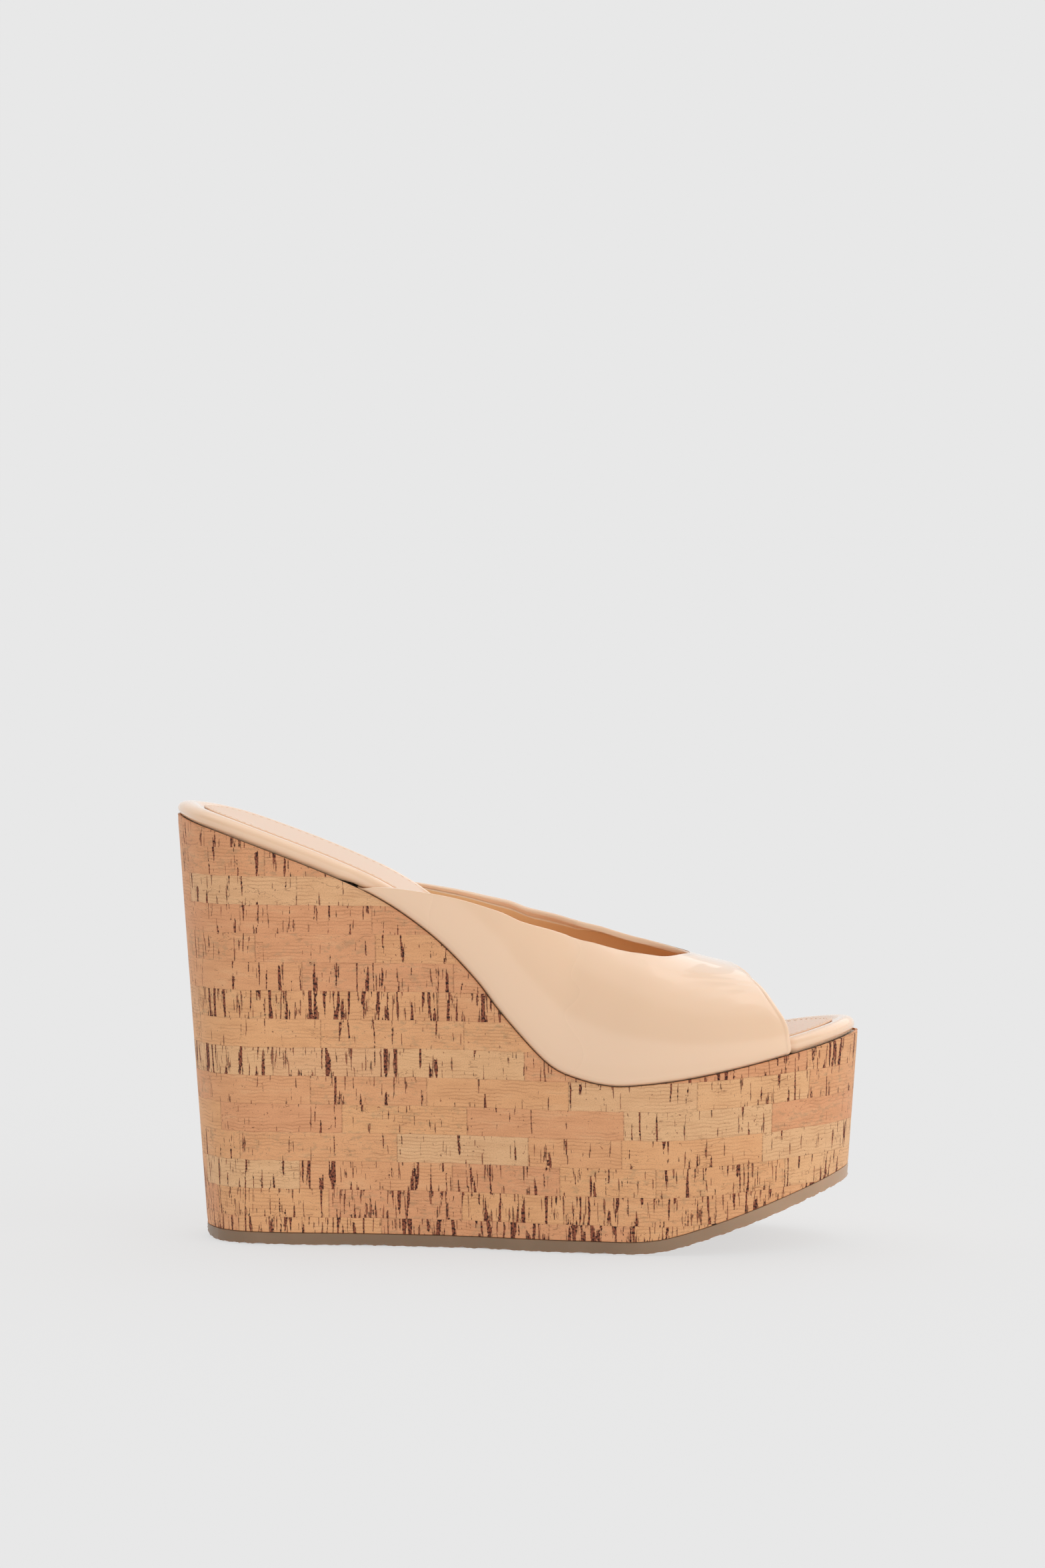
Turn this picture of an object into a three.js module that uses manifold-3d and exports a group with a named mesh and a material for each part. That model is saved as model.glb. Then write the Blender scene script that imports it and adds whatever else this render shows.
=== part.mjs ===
// Wedge mule sandal, right foot, modelled as the pieces a shoemaker puts together.
// Units are millimetres. +X runs to the toe, +Y to the inner side of the foot, +Z up.
// While the pieces are built, the heel back is at X = 0 and the toe tip at X = 216.
import * as THREE from 'three';
import { mergeVertices } from 'three/addons/utils/BufferGeometryUtils.js';
import Module from 'manifold-3d';

const wasm = await Module();
wasm.setup();

// ---------------------------------------------------------------- driving dimensions

const FINE_GAP = 0.12;             // between layers that share one sampling
const FIT_GAP = 0.3;               // between a piece and what cuts it
const OUTSOLE_THICKNESS = 3.9;
const GROOVE = { width: 2, depth: 1.3, spacing: 8, border: 11 };
const CORK_THICKNESS = 0.8;
const CORK_SEAM = 0.35;            // slit where the ends of the cork strip meet
const WALL_TAPER = 0.048;          // inward lean of the wedge sides, per mm of height
const END_TAPER = 0.021;           // extra lean at the heel back and toe tip

// Layers of the footbed, each from and to a height above the wedge top.
const OUTER_MARGIN = [0.12, 0.45];
const LINING_MARGIN = [0.57, 0.85];
const WRAP_MARGIN = [0.97, 1.45];
const FILLER = [0.12, 1.45];
const INSOLE_BOARD = [1.57, 2.6];
const BACKPART_BOARD = [2.72, 3.3];
const FOAM_EDGE_TOP = 3.9;
const FOAM_TOP = 4.7;
const WRAP_TOP = [4.02, 4.7];
const SOCK = [4.82, 5.5];
const BACKPART_END_X = 113;
const FOAM_STEP_X = 114;           // the foam fills the full depth in front of here

// Insets from the outline of the footbed.
const ROLL_CENTRE = { inset: 3.7, height: 2.8 };
const ROLL_CREST = 5.5;
const HEEL_OVERHANG = 1.2;         // the rolled edge stands further out at the heel back
const FLANGE_INSET = 12.2;
const INNER_INSET = 12.7;
const MARGIN_INSET = 11;
const BOARD_INSET = 4;
const FOAM_INSET = 3.8;
const SOCK_INSET = 7;

// Upper: leather, interlining and lining, as depths below its outer surface.
const UPPER_PROUD = 1;             // how far the upper stands outside the wedge
const OUTER_LEATHER = [0, 0.8];
const INTERLINING = [0.9, 1.15];
const LINING = [1.25, 1.85];
const CROWN_SHAPE = 2.2;           // superellipse exponent of the upper's cross-section

const SHANK = { from: 30, to: 112, width: 10 };
const RIVET = { xs: [40, 100], radius: 1.8, top: 3.25 };
const NAIL = { radius: 0.9, head: 2.2, headThickness: 0.4, length: 22 };
const NAIL_SPOTS = [[20, -11], [20, 11], [52, -11], [52, 11]];

// Fineness of the facets. Bent layers share the same stations along X, so they nest.
const STATION_SPACING = 6;
const STATIONS = Array.from({ length: 42 }, (_, k) => -12 + STATION_SPACING * k);
const END_STEPS = [0, 0.5, 2, 4.5];
const END_ZONES = [14, 199];       // before and after these X values the outline turns
const OUTLINE_STEPS = 72;
const CROWN_COLUMNS = 16;

// ---------------------------------------------------------------- curves of the design

// Plan outline of the footbed, heel back first, round the outer side to the toe and back.
const OUTLINE_POINTS = [
  [0, 0], [2, -9], [8, -19], [18, -25.5], [34, -28], [60, -28.5], [90, -31],
  [120, -36.5], [150, -40.5], [175, -38.5], [192, -32], [204, -23], [211, -14],
  [215, -5], [216, 2], [215, 7], [211, 15], [203, 24.5], [190, 33], [170, 38.5],
  [150, 37], [120, 31.5], [90, 26.5], [60, 26.5], [34, 27.5], [18, 25.5], [8, 19], [2, 9],
];
const outlineCurve = new THREE.CatmullRomCurve3(
  OUTLINE_POINTS.map(([x, y]) => new THREE.Vector3(x, y, 0)), true, 'centripetal');
outlineCurve.arcLengthDivisions = 600;

// Height of the wedge top and of the ground side of the outsole, along X.
const footbedHeight = curveHeight([
  [-20, 141.2], [0, 134.2], [18.8, 128.5], [41.5, 120.2], [56.5, 114], [66.5, 109.1],
  [76.3, 102.8], [86.3, 94.8], [96.6, 84.1], [103.8, 74.8], [114.7, 62.7], [121.4, 57.1],
  [129.1, 54.1], [136.7, 52.5], [144.1, 52.3], [159, 54], [173.9, 56.8], [196, 61.8],
  [216, 66.3], [240, 71.9],
]);
const TREAD_PROFILE = [
  [-20, 3], [8.6, 2.6], [9.2, 1.2], [10.4, 0.3], [12.5, 0], [150, 0], [156, 0.9],
  [162, 2.5], [168.5, 4.6], [177, 7.3], [185, 10.2], [193, 13.2], [203.5, 17], [213, 20.4],
  [240, 30],
];
// Height of the crown of the upper above the footbed, along X.
const crownHeight = curveHeight([
  [40, 33], [60, 34], [80, 37], [100, 42.5], [118, 47.5], [130, 48.3], [145, 44.7],
  [162, 37.2], [182, 28.5], [196, 21.8], [215, 14],
]);
// Where the upper starts along X, against the angle round its cross-section: 0 at the base
// of the outer side, 90 at the crown, 180 at the base of the inner side.
const TOPLINE_TAIL_X = 58.8;       // its turned-under margin reaches back to here
const topline = curveHeight([
  [-8, 54], [0, 63], [10, 75], [20, 86], [30, 96], [40, 104.5], [50, 113], [55, 120],
  [60, 137], [65, 150], [70, 156], [80, 161], [90, 164], [100, 161], [105, 156], [110, 149],
  [115, 134], [120, 120], [125, 115], [130, 111], [140, 104], [150, 97], [160, 89], [170, 79],
  [180, 67], [188, 57]]);
// Where it ends at the toe on the outer side, and how much further back on the inner side.
const TOE_SETBACK = 5.5;
const toeEdge = curveHeight([
  [-20, 195], [0, 195], [20, 195], [40, 192.3], [58, 189.3], [75, 184.4], [90, 181.4],
  [105, 184.4]]);

// Straight lines between points, as a function that gives the height at x.
function lineHeight(points) {
  return (x) => {
    let k = 1;
    while (k < points.length - 1 && points[k][0] < x) k += 1;
    const [[x0, z0], [x1, z1]] = [points[k - 1], points[k]];
    return z0 + (z1 - z0) * (x - x0) / (x1 - x0);
  };
}

// The same through a smooth curve.
function curveHeight(points) {
  const curve = new THREE.SplineCurve(points.map(([x, z]) => new THREE.Vector2(x, z)));
  return lineHeight(curve.getPoints(points.length * 24).map(({ x, y }) => [x, y]));
}

function footbedNormal(x) {
  const slope = (footbedHeight(x + 1) - footbedHeight(x - 1)) / 2;
  return new THREE.Vector3(-slope, 0, 1).normalize();
}

// A point over plan position x, y, at a height measured square to the wedge top.
function overFootbed(x, y, height) {
  return new THREE.Vector3(x, y, footbedHeight(x)).addScaledVector(footbedNormal(x), height);
}

// Plan outline moved inwards, as points and inward directions.
function insetOutline(inset, count) {
  return Array.from({ length: count }, (_, k) => {
    const u = (k + 0.5) / count;
    const at = outlineCurve.getPointAt(u);
    const along = outlineCurve.getTangentAt(u);
    const inward = new THREE.Vector2(-along.y, along.x);
    return { x: at.x + inward.x * inset, y: at.y + inward.y * inset, inward };
  });
}

// Lowest and highest y of a closed plan polygon on the line X = x.
function crossing(polygon, x) {
  const ys = [];
  polygon.forEach((a, k) => {
    const b = polygon[(k + 1) % polygon.length];
    if ((a.x - x) * (b.x - x) < 0) ys.push(a.y + (b.y - a.y) * (x - a.x) / (b.x - a.x));
  });
  return [Math.min(...ys), Math.max(...ys)];
}

const planOutline = insetOutline(0, 400);

// Outline point and inward direction on one side (-1 outer, +1 inner) at X = x.
function sideStation(side, x) {
  const pick = side < 0 ? 0 : 1;
  const y = crossing(planOutline, x)[pick];
  const slope = (crossing(planOutline, x + 0.5)[pick] - crossing(planOutline, x - 0.5)[pick]);
  return { x, y, inward: new THREE.Vector2(slope, -1).normalize().multiplyScalar(side) };
}

// Point of the footbed edge, inset and raised. Through the tight bend of the footbed the
// insets run straight across in Y, so that every layer bends at the same stations.
function edgePoint({ x, y, inward }, inset, height) {
  const { lerp, smoothstep } = THREE.MathUtils;
  const straight = smoothstep(x, 70, 90) * (1 - smoothstep(x, 150, 165));
  return overFootbed(
    x + inward.x * inset * (1 - straight),
    y + inset * (straight ? lerp(inward.y, 1 / inward.y, straight) : inward.y), height);
}

// ---------------------------------------------------------------- building solids

// Skin over a run of rings. Point k of a ring pairs with point last - k across the band,
// which closes the two ends; a looped run has no ends.
function bandSolid(rings, looped = false) {
  const size = rings[0].length;
  const positions = rings.flat().flatMap((p) => [p.x, p.y, p.z]);
  const index = [];
  const quad = (a, b, c, d) => index.push(a, b, c, a, c, d);
  const spans = looped ? rings.length : rings.length - 1;
  for (let r = 0; r < spans; r += 1) {
    const next = (r + 1) % rings.length;
    for (let k = 0; k < size; k += 1) {
      const after = (k + 1) % size;
      const corners = [
        r * size + k, r * size + after, next * size + after, next * size + k];
      // Both faces of a band split their quads along the same diagonal, so layers nest.
      if (k >= size / 2) corners.push(corners.shift());
      quad(...corners);
    }
  }
  if (!looped) {
    const last = (rings.length - 1) * size;
    for (let k = 0; k < size / 2 - 1; k += 1) {
      const across = size - 1 - k;
      quad(k, across, across - 1, k + 1);
      quad(last + k, last + k + 1, last + across - 1, last + across);
    }
  }
  const geometry = new THREE.BufferGeometry();
  geometry.setAttribute('position', new THREE.Float32BufferAttribute(positions, 3));
  geometry.setIndex(index);
  return facingOut(geometry);
}

function facingOut(geometry) {
  const index = geometry.index.array;
  const p = geometry.attributes.position;
  const [a, b, c] = [new THREE.Vector3(), new THREE.Vector3(), new THREE.Vector3()];
  let volume = 0;
  for (let k = 0; k < index.length; k += 3) {
    a.fromBufferAttribute(p, index[k]);
    b.fromBufferAttribute(p, index[k + 1]);
    c.fromBufferAttribute(p, index[k + 2]);
    volume += a.dot(b.cross(c));
  }
  if (volume < 0) geometry.setIndex(Array.from(index).reverse());
  return geometry;
}

function toSolid(geometry) {
  const bare = new THREE.BufferGeometry();
  bare.setAttribute('position', geometry.attributes.position.clone());
  if (geometry.index) bare.setIndex(Array.from(geometry.index.array));
  const welded = mergeVertices(bare, 1e-4);
  return new wasm.Manifold(new wasm.Mesh({
    numProp: 3,
    vertProperties: Float32Array.from(welded.attributes.position.array),
    triVerts: Uint32Array.from(welded.index.array),
  }));
}

function toGeometry(solid) {
  const mesh = solid.getMesh();
  const geometry = new THREE.BufferGeometry();
  geometry.setAttribute('position', new THREE.Float32BufferAttribute(mesh.vertProperties, 3));
  geometry.setIndex(Array.from(mesh.triVerts));
  return geometry;
}

const join = (first, ...rest) => rest.reduce((whole, piece) => whole.add(piece), first);
const cut = (first, ...rest) => rest.reduce((whole, piece) => whole.subtract(piece), first);

// Slab across the whole width between two heights given along X.
function slabBetween(lower, upper) {
  const halfWidth = 70;
  const outline = new THREE.Shape([
    ...lower.map(([x, z]) => new THREE.Vector2(x, z)),
    ...upper.toReversed().map(([x, z]) => new THREE.Vector2(x, z)),
  ]);
  const slab = new THREE.ExtrudeGeometry(outline, { depth: 2 * halfWidth, bevelEnabled: false });
  slab.rotateX(Math.PI / 2);
  slab.translate(0, halfWidth, 0);
  return toSolid(slab);
}

// The wedge's leaning side wall, moved inwards by inset, as a solid taller than the wedge.
function wedgeBody(inset) {
  const ring = (z) => insetOutline(0, OUTLINE_STEPS).map(({ x, y, inward }) => {
    const taper = WALL_TAPER + END_TAPER * Math.abs(inward.x);
    const move = inset + taper * (footbedHeight(x) - z);
    return new THREE.Vector3(x + inward.x * move, y + inward.y * move, z);
  });
  return toSolid(bandSolid([ring(-8), ring(150)]));
}

// A sheet bent to the footbed: a plan polygon between two heights above the wedge top.
function bentPlate(polygon, [low, high], fromX = -Infinity, toX = Infinity) {
  const start = Math.max(Math.min(...polygon.map((p) => p.x)) + 0.15, fromX);
  const end = Math.min(Math.max(...polygon.map((p) => p.x)) - 0.15, toX);
  const steps = (edge, sign, straightCut) => (
    straightCut ? [edge] : END_STEPS.map((step) => edge + sign * step));
  const first = steps(start, 1, start === fromX);
  const last = steps(end, -1, end === toX).reverse();
  const xs = [...first, ...STATIONS.filter((x) => x > first.at(-1) + 1 && x < last[0] - 1), ...last];
  const rings = xs.map((x) => {
    const [right, left] = crossing(polygon, x);
    return [
      overFootbed(x, right, low), overFootbed(x, left, low),
      overFootbed(x, left, high), overFootbed(x, right, high),
    ];
  });
  return toSolid(bandSolid(rings));
}

// Strip of even width with round ends, seen from above.
function stadium(from, to, width) {
  const radius = width / 2;
  const outline = new THREE.Path();
  outline.absarc(to - radius, 0, radius, -Math.PI / 2, Math.PI / 2);
  outline.absarc(from + radius, 0, radius, Math.PI / 2, Math.PI * 1.5);
  outline.closePath();
  return outline.getPoints(10).slice(0, -1);
}

// Round bar square to the footbed, from one height above the wedge top to another.
function footbedPin(x, y, radius, low, high, sides = 12) {
  const pin = new THREE.CylinderGeometry(radius, radius, high - low, sides);
  pin.translate(0, (high + low) / 2, 0);
  pin.applyQuaternion(new THREE.Quaternion().setFromUnitVectors(
    new THREE.Vector3(0, 1, 0), footbedNormal(x)));
  pin.translate(x, y, footbedHeight(x));
  return toSolid(pin);
}

// ---------------------------------------------------------------- the scene graph

const sandal = new THREE.Group();

function place(name, geometry, colour, roughness, metalness = 0) {
  const material = new THREE.MeshStandardMaterial({ color: colour, roughness, metalness });
  geometry.computeVertexNormals();
  const mesh = new THREE.Mesh(geometry, material);
  mesh.name = name;
  sandal.add(mesh);
}

// ---------------------------------------------------------------- outsole

const outerBody = wedgeBody(0);
const footbedLine = STATIONS.map((x) => [x, footbedHeight(x)]);

// The tread profile moved up by a distance measured square to it.
function treadLine(rise) {
  return TREAD_PROFILE.map(([x, z], k) => {
    const before = TREAD_PROFILE[Math.max(k - 1, 0)];
    const after = TREAD_PROFILE[Math.min(k + 1, TREAD_PROFILE.length - 1)];
    const slope = x < 20 ? 0 : Math.atan2(after[1] - before[1], after[0] - before[0]);
    const lift = x < 20 ? OUTSOLE_THICKNESS - z + (rise - OUTSOLE_THICKNESS) : rise;
    return [x - Math.sin(slope) * lift, z + Math.cos(slope) * lift];
  });
}

// Shallow grooves across the tread, closed at both sides by a plain border.
function treadGrooves() {
  const spots = [
    ...Array.from({ length: 5 }, (_, k) => 24 + GROOVE.spacing * k),
    ...Array.from({ length: 10 }, (_, k) => 112 + GROOVE.spacing * k),
  ];
  const border = insetOutline(GROOVE.border, 200);
  const treadHeight = lineHeight(TREAD_PROFILE);
  return spots.map((x) => {
    const [right, left] = crossing(border, x);
    const groove = new THREE.BoxGeometry(GROOVE.width, left - right, 2 * GROOVE.depth);
    groove.translate(x, (left + right) / 2, treadHeight(x));
    return toSolid(groove);
  });
}

const outsole = cut(
  outerBody.intersect(slabBetween(TREAD_PROFILE, treadLine(OUTSOLE_THICKNESS))),
  ...treadGrooves());
place('outsole', toGeometry(outsole), 0x8c7560, 0.45);

// ---------------------------------------------------------------- wedge and its cork wrap

const wedgeSlab = slabBetween(treadLine(OUTSOLE_THICKNESS + FINE_GAP), footbedLine);
const nailHoles = NAIL_SPOTS.map(([x, y]) => footbedPin(
  x, y, NAIL.radius + FIT_GAP, -NAIL.length - 1, 4));
const wedgeCore = cut(wedgeBody(CORK_THICKNESS + FINE_GAP).intersect(wedgeSlab), ...nailHoles);
place('wedge_core', toGeometry(wedgeCore), 0xe9e4d8, 0.8);

const seam = new THREE.BoxGeometry(24, CORK_SEAM, 200);
seam.translate(2, 0, 80);
const corkWrap = cut(outerBody.intersect(wedgeSlab), wedgeBody(CORK_THICKNESS), toSolid(seam));
place('cork_wrap', toGeometry(corkWrap), 0xd5a678, 0.6);

// ---------------------------------------------------------------- inside the footbed

const boardOutline = insetOutline(BOARD_INSET, 240);
const innerOutline = insetOutline(INNER_INSET, 240);
const rivetHoles = RIVET.xs.map((x) => footbedPin(x, 0, RIVET.radius + FIT_GAP, -0.5, 3.6));

const shankSlot = bentPlate(
  stadium(SHANK.from - FIT_GAP, SHANK.to + FIT_GAP, SHANK.width + 2 * FIT_GAP),
  [FILLER[0] - 1, FILLER[1] + 1]);
const filler = cut(bentPlate(innerOutline, FILLER), shankSlot, ...nailHoles);
place('bottom_filler', toGeometry(filler), 0x9b8468, 0.9);

const shank = cut(bentPlate(stadium(SHANK.from, SHANK.to, SHANK.width), FILLER), ...rivetHoles);
place('steel_shank', toGeometry(shank), 0x8f9499, 0.35, 1);

const insoleBoard = cut(bentPlate(boardOutline, INSOLE_BOARD), ...nailHoles, ...rivetHoles);
place('insole_board', toGeometry(insoleBoard), 0xb99c74, 0.9);

const headHoles = NAIL_SPOTS.map(([x, y]) => footbedPin(
  x, y, NAIL.head + FIT_GAP, BACKPART_BOARD[0] - 0.5, BACKPART_BOARD[1] + 0.5));
const backpartBoard = cut(
  bentPlate(boardOutline, BACKPART_BOARD, -Infinity, BACKPART_END_X), ...headHoles, ...rivetHoles);
place('backpart_board', toGeometry(backpartBoard), 0x6f5a43, 0.9);

RIVET.xs.forEach((x, k) => {
  const rivet = footbedPin(x, 0, RIVET.radius, FILLER[0] + 0.05, RIVET.top);
  place(`shank_rivet_${k + 1}`, toGeometry(rivet), 0xb8935a, 0.4, 1);
});

NAIL_SPOTS.forEach(([x, y], k) => {
  const headTop = BACKPART_BOARD[1] - 0.05;
  const nail = join(
    footbedPin(x, y, NAIL.radius, -NAIL.length, headTop - 0.1, 10),
    footbedPin(x, y, NAIL.head, headTop - NAIL.headThickness, headTop, 12));
  place(`heel_nail_${k + 1}`, toGeometry(nail), 0x9a9da1, 0.4, 1);
});

// Foam: thin over the stiff rear board, thicker under the ball, raised inside the wrap.
const foamOutline = insetOutline(FOAM_INSET, 240);
const foam = join(
  bentPlate(foamOutline, [BACKPART_BOARD[1] + FINE_GAP, FOAM_EDGE_TOP]),
  bentPlate(foamOutline, [INSOLE_BOARD[1] + FINE_GAP, FOAM_EDGE_TOP], FOAM_STEP_X),
  bentPlate(innerOutline, [FOAM_EDGE_TOP - 0.2, FOAM_TOP]));
place('foam_pad', toGeometry(foam), 0xf1ecdf, 0.95);

place('sock_lining', toGeometry(bentPlate(insetOutline(SOCK_INSET, 240), SOCK)), 0xe3bda2, 0.25);

// ---------------------------------------------------------------- rolled edge of the footbed

// Ellipse round the centre of the rolled edge; angle 0 faces outwards, 90 is the bottom.
function rollPoint(reach, drop, degrees) {
  const angle = THREE.MathUtils.degToRad(degrees);
  return {
    inset: ROLL_CENTRE.inset - reach * Math.cos(angle),
    height: ROLL_CENTRE.height - drop * Math.sin(angle),
  };
}

// Section of the leather wrapped round the insole edge. The upper squeezes it where covered.
function wrapSection(covered, overhang) {
  const reach = THREE.MathUtils.lerp(3.2, 2.45, covered) + overhang;
  const drop = THREE.MathUtils.lerp(ROLL_CENTRE.height - 0.15, 1.83, covered);
  const crest = ROLL_CREST - ROLL_CENTRE.height;
  const outside = [90, 60, 30, 0].map((angle) => rollPoint(reach, drop, angle));
  const over = [-40, -90].map((angle) => rollPoint(reach, crest, angle));
  const rise = WRAP_TOP[0] - ROLL_CENTRE.height;
  const sink = ROLL_CENTRE.height - WRAP_MARGIN[1];
  const inside = [-90, -35, 20, 60, 90].map((angle) => rollPoint(
    1.8, angle < 0 ? rise : sink, angle));
  return [
    { inset: FLANGE_INSET, height: WRAP_MARGIN[0] }, { inset: 5.4, height: WRAP_MARGIN[0] },
    ...outside, ...over,
    { inset: 5.4, height: 5.2 }, { inset: 6.5, height: WRAP_TOP[1] },
    { inset: FLANGE_INSET, height: WRAP_TOP[1] }, { inset: FLANGE_INSET, height: WRAP_TOP[0] },
    ...inside,
    { inset: FLANGE_INSET, height: WRAP_MARGIN[1] },
  ];
}

// Stops round the whole edge: the shared stations on both sides, closer ones at the ends.
function edgeStops() {
  const [heelZone, toeZone] = END_ZONES;
  const round = insetOutline(0, 92).map((stop, k) => ({ ...stop, turn: (k + 0.5) / 92 }));
  const ends = round.filter(({ x }) => x < heelZone || x > toeZone);
  const sides = STATIONS.filter((x) => x > heelZone && x < toeZone);
  return [
    ...ends.filter(({ turn }) => turn < 0.25),
    ...sides.map((x) => sideStation(-1, x)),
    ...ends.filter(({ turn }) => turn > 0.25 && turn < 0.75),
    ...sides.map((x) => sideStation(1, x)).reverse(),
    ...ends.filter(({ turn }) => turn > 0.75),
  ];
}

const wrapRings = edgeStops().map((stop) => {
  const { smoothstep } = THREE.MathUtils;
  const toeStart = stop.y < 0 ? 197 : 197 - TOE_SETBACK;
  const covered = smoothstep(stop.x, 52, 58) * (1 - smoothstep(stop.x, toeStart, toeStart + 5));
  const overhang = HEEL_OVERHANG * Math.max(stop.inward.x, 0) ** 2;
  return wrapSection(covered, overhang).map(
    ({ inset, height }) => edgePoint(stop, inset, height));
});
place('insole_wrap', bandSolid(wrapRings, true), 0xe0b698, 0.2);

// ---------------------------------------------------------------- upper

// Direction in which the upper rises: leans forward at the instep and back at the toe.
function riseDirection(x) {
  const lean = THREE.MathUtils.degToRad(THREE.MathUtils.mapLinear(x, 60, 195, 24, -10));
  return new THREE.Vector3(Math.sin(lean), 0, Math.cos(lean));
}

// Point of the crown at depth below the outer surface, angle 0 outer side to 180 inner side.
function crownPoint(x, degrees, depth) {
  const angle = THREE.MathUtils.degToRad(degrees);
  const side = degrees < 90 ? -1 : 1;
  const across = Math.abs(Math.cos(angle)) ** (2 / CROWN_SHAPE);
  const up = Math.abs(Math.sin(angle)) ** (2 / CROWN_SHAPE);
  const [outerY, innerY] = crossing(planOutline, x);
  const centre = overFootbed(x, (outerY + innerY) / 2, ROLL_CENTRE.height);
  const foot = edgePoint(sideStation(side, x), depth - UPPER_PROUD, ROLL_CENTRE.height);
  const rise = crownHeight(x) - depth - ROLL_CENTRE.height;
  return centre.lerp(foot, across).addScaledVector(riseDirection(x), rise * up);
}

// The toe opening is cut further back on the inner side of the foot.
function setBack(x, degrees) {
  const { smoothstep } = THREE.MathUtils;
  return x - TOE_SETBACK * smoothstep(degrees, 86, 106) * smoothstep(x, 165, 195);
}

const alongUpper = (degrees, row) => setBack(THREE.MathUtils.lerp(
  topline(degrees), toeEdge(Math.min(degrees, 180 - degrees)), row), degrees);

// Leather turned under the insole: across the margin, then round the rolled edge. Its start
// slants forward on the way up, from the tail of the topline to the base of the crown.
function turnedUnder(side, row, depth, bottom) {
  const { lerp } = THREE.MathUtils;
  const reach = ROLL_CENTRE.inset + UPPER_PROUD - depth;
  const drop = ROLL_CENTRE.height - bottom;
  const marginX = setBack(lerp(TOPLINE_TAIL_X, toeEdge(0), row), side < 0 ? 0 : 180);
  const crownX = alongUpper(side < 0 ? 0 : 180, row);
  return [
    edgePoint(sideStation(side, marginX), MARGIN_INSET, bottom),
    ...[90, 62, 32].map((angle) => {
      const { inset, height } = rollPoint(reach, drop, angle);
      return edgePoint(sideStation(side, lerp(crownX, marginX, angle / 90)), inset, height);
    }),
  ];
}

// One layer of the upper across the foot, at one depth, from margin to margin.
function upperPath(row, depth, bottom) {
  const crown = Array.from({ length: CROWN_COLUMNS + 1 }, (_, k) => {
    const degrees = 180 * k / CROWN_COLUMNS;
    return crownPoint(alongUpper(degrees, row), degrees, depth);
  });
  return [
    ...turnedUnder(-1, row, depth, bottom), ...crown,
    ...turnedUnder(1, row, depth, bottom).reverse(),
  ];
}

// Rows from the topline, 0, to the toe edge, 1. In the margins they fall on the stations.
const upperRows = [
  0,
  ...STATIONS.filter((x) => x > TOPLINE_TAIL_X + 1 && x < toeEdge(0) - 2)
    .map((x) => (x - TOPLINE_TAIL_X) / (toeEdge(0) - TOPLINE_TAIL_X)),
  1,
];

function upperLayer([outerDepth, innerDepth], [bottom, top]) {
  return bandSolid(upperRows.map((row) => [
    ...upperPath(row, outerDepth, bottom),
    ...upperPath(row, innerDepth, top).reverse(),
  ]));
}

place('upper_outer', upperLayer(OUTER_LEATHER, OUTER_MARGIN), 0xe0b698, 0.15);
place('upper_lining', upperLayer(LINING, LINING_MARGIN), 0xd9b184, 0.6);

// The interlining stops short of every edge, so it shows nowhere.
const interliningRings = upperRows.slice(1, -1).map((row) => {
  const columns = Array.from({ length: CROWN_COLUMNS - 1 }, (_, k) => 180 * (k + 1) / CROWN_COLUMNS);
  const path = (depth) => columns.map((degrees) => crownPoint(
    alongUpper(degrees, row), degrees, depth));
  return [...path(INTERLINING[0]), ...path(INTERLINING[1]).reverse()];
});
place('upper_interlining', bandSolid(interliningRings), 0xe8e6e0, 0.95);

// ---------------------------------------------------------------- stand the sandal on Z = 0

const bounds = new THREE.Box3().setFromObject(sandal);
const middle = bounds.getCenter(new THREE.Vector3());
sandal.position.set(-middle.x, -middle.y, -bounds.min.z);

export default sandal;
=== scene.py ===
"""Wedge mule sandal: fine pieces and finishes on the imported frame, laid out as an add-on."""
import math

import bpy
import numpy as np
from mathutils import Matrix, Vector


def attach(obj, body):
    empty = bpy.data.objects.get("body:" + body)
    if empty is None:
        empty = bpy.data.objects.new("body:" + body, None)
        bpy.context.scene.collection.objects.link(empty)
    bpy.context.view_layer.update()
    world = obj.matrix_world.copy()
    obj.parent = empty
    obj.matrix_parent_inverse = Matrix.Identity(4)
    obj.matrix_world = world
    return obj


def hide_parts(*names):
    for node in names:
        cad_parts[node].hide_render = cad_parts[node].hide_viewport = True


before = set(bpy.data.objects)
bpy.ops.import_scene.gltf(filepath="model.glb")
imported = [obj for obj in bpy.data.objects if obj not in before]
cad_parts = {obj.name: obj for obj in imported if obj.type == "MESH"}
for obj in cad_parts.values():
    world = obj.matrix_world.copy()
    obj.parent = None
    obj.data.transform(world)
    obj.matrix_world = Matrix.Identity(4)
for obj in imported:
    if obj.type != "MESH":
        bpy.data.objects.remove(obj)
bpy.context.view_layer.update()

bl_info = {
    "name": "Wedge Mule Sandal",
    "version": (1, 0, 0),
    "blender": (4, 5, 0),
    "location": "View3D > Sidebar > Sandal",
    "description": "Builds the pieces of a cork wedge mule and their finishes",
    "category": "Object",
}

MM = 0.001
UV_SPAN = 100.0                      # millimetres along one unit of the UV maps

# ------------------------------------------------------------------ curves of the design, in mm
# While pieces are shaped, the heel back is at X = 0 and the toe tip at X = 216.
HEEL_BACK = np.array([-108.103, 0.953, 0.0])

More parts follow.
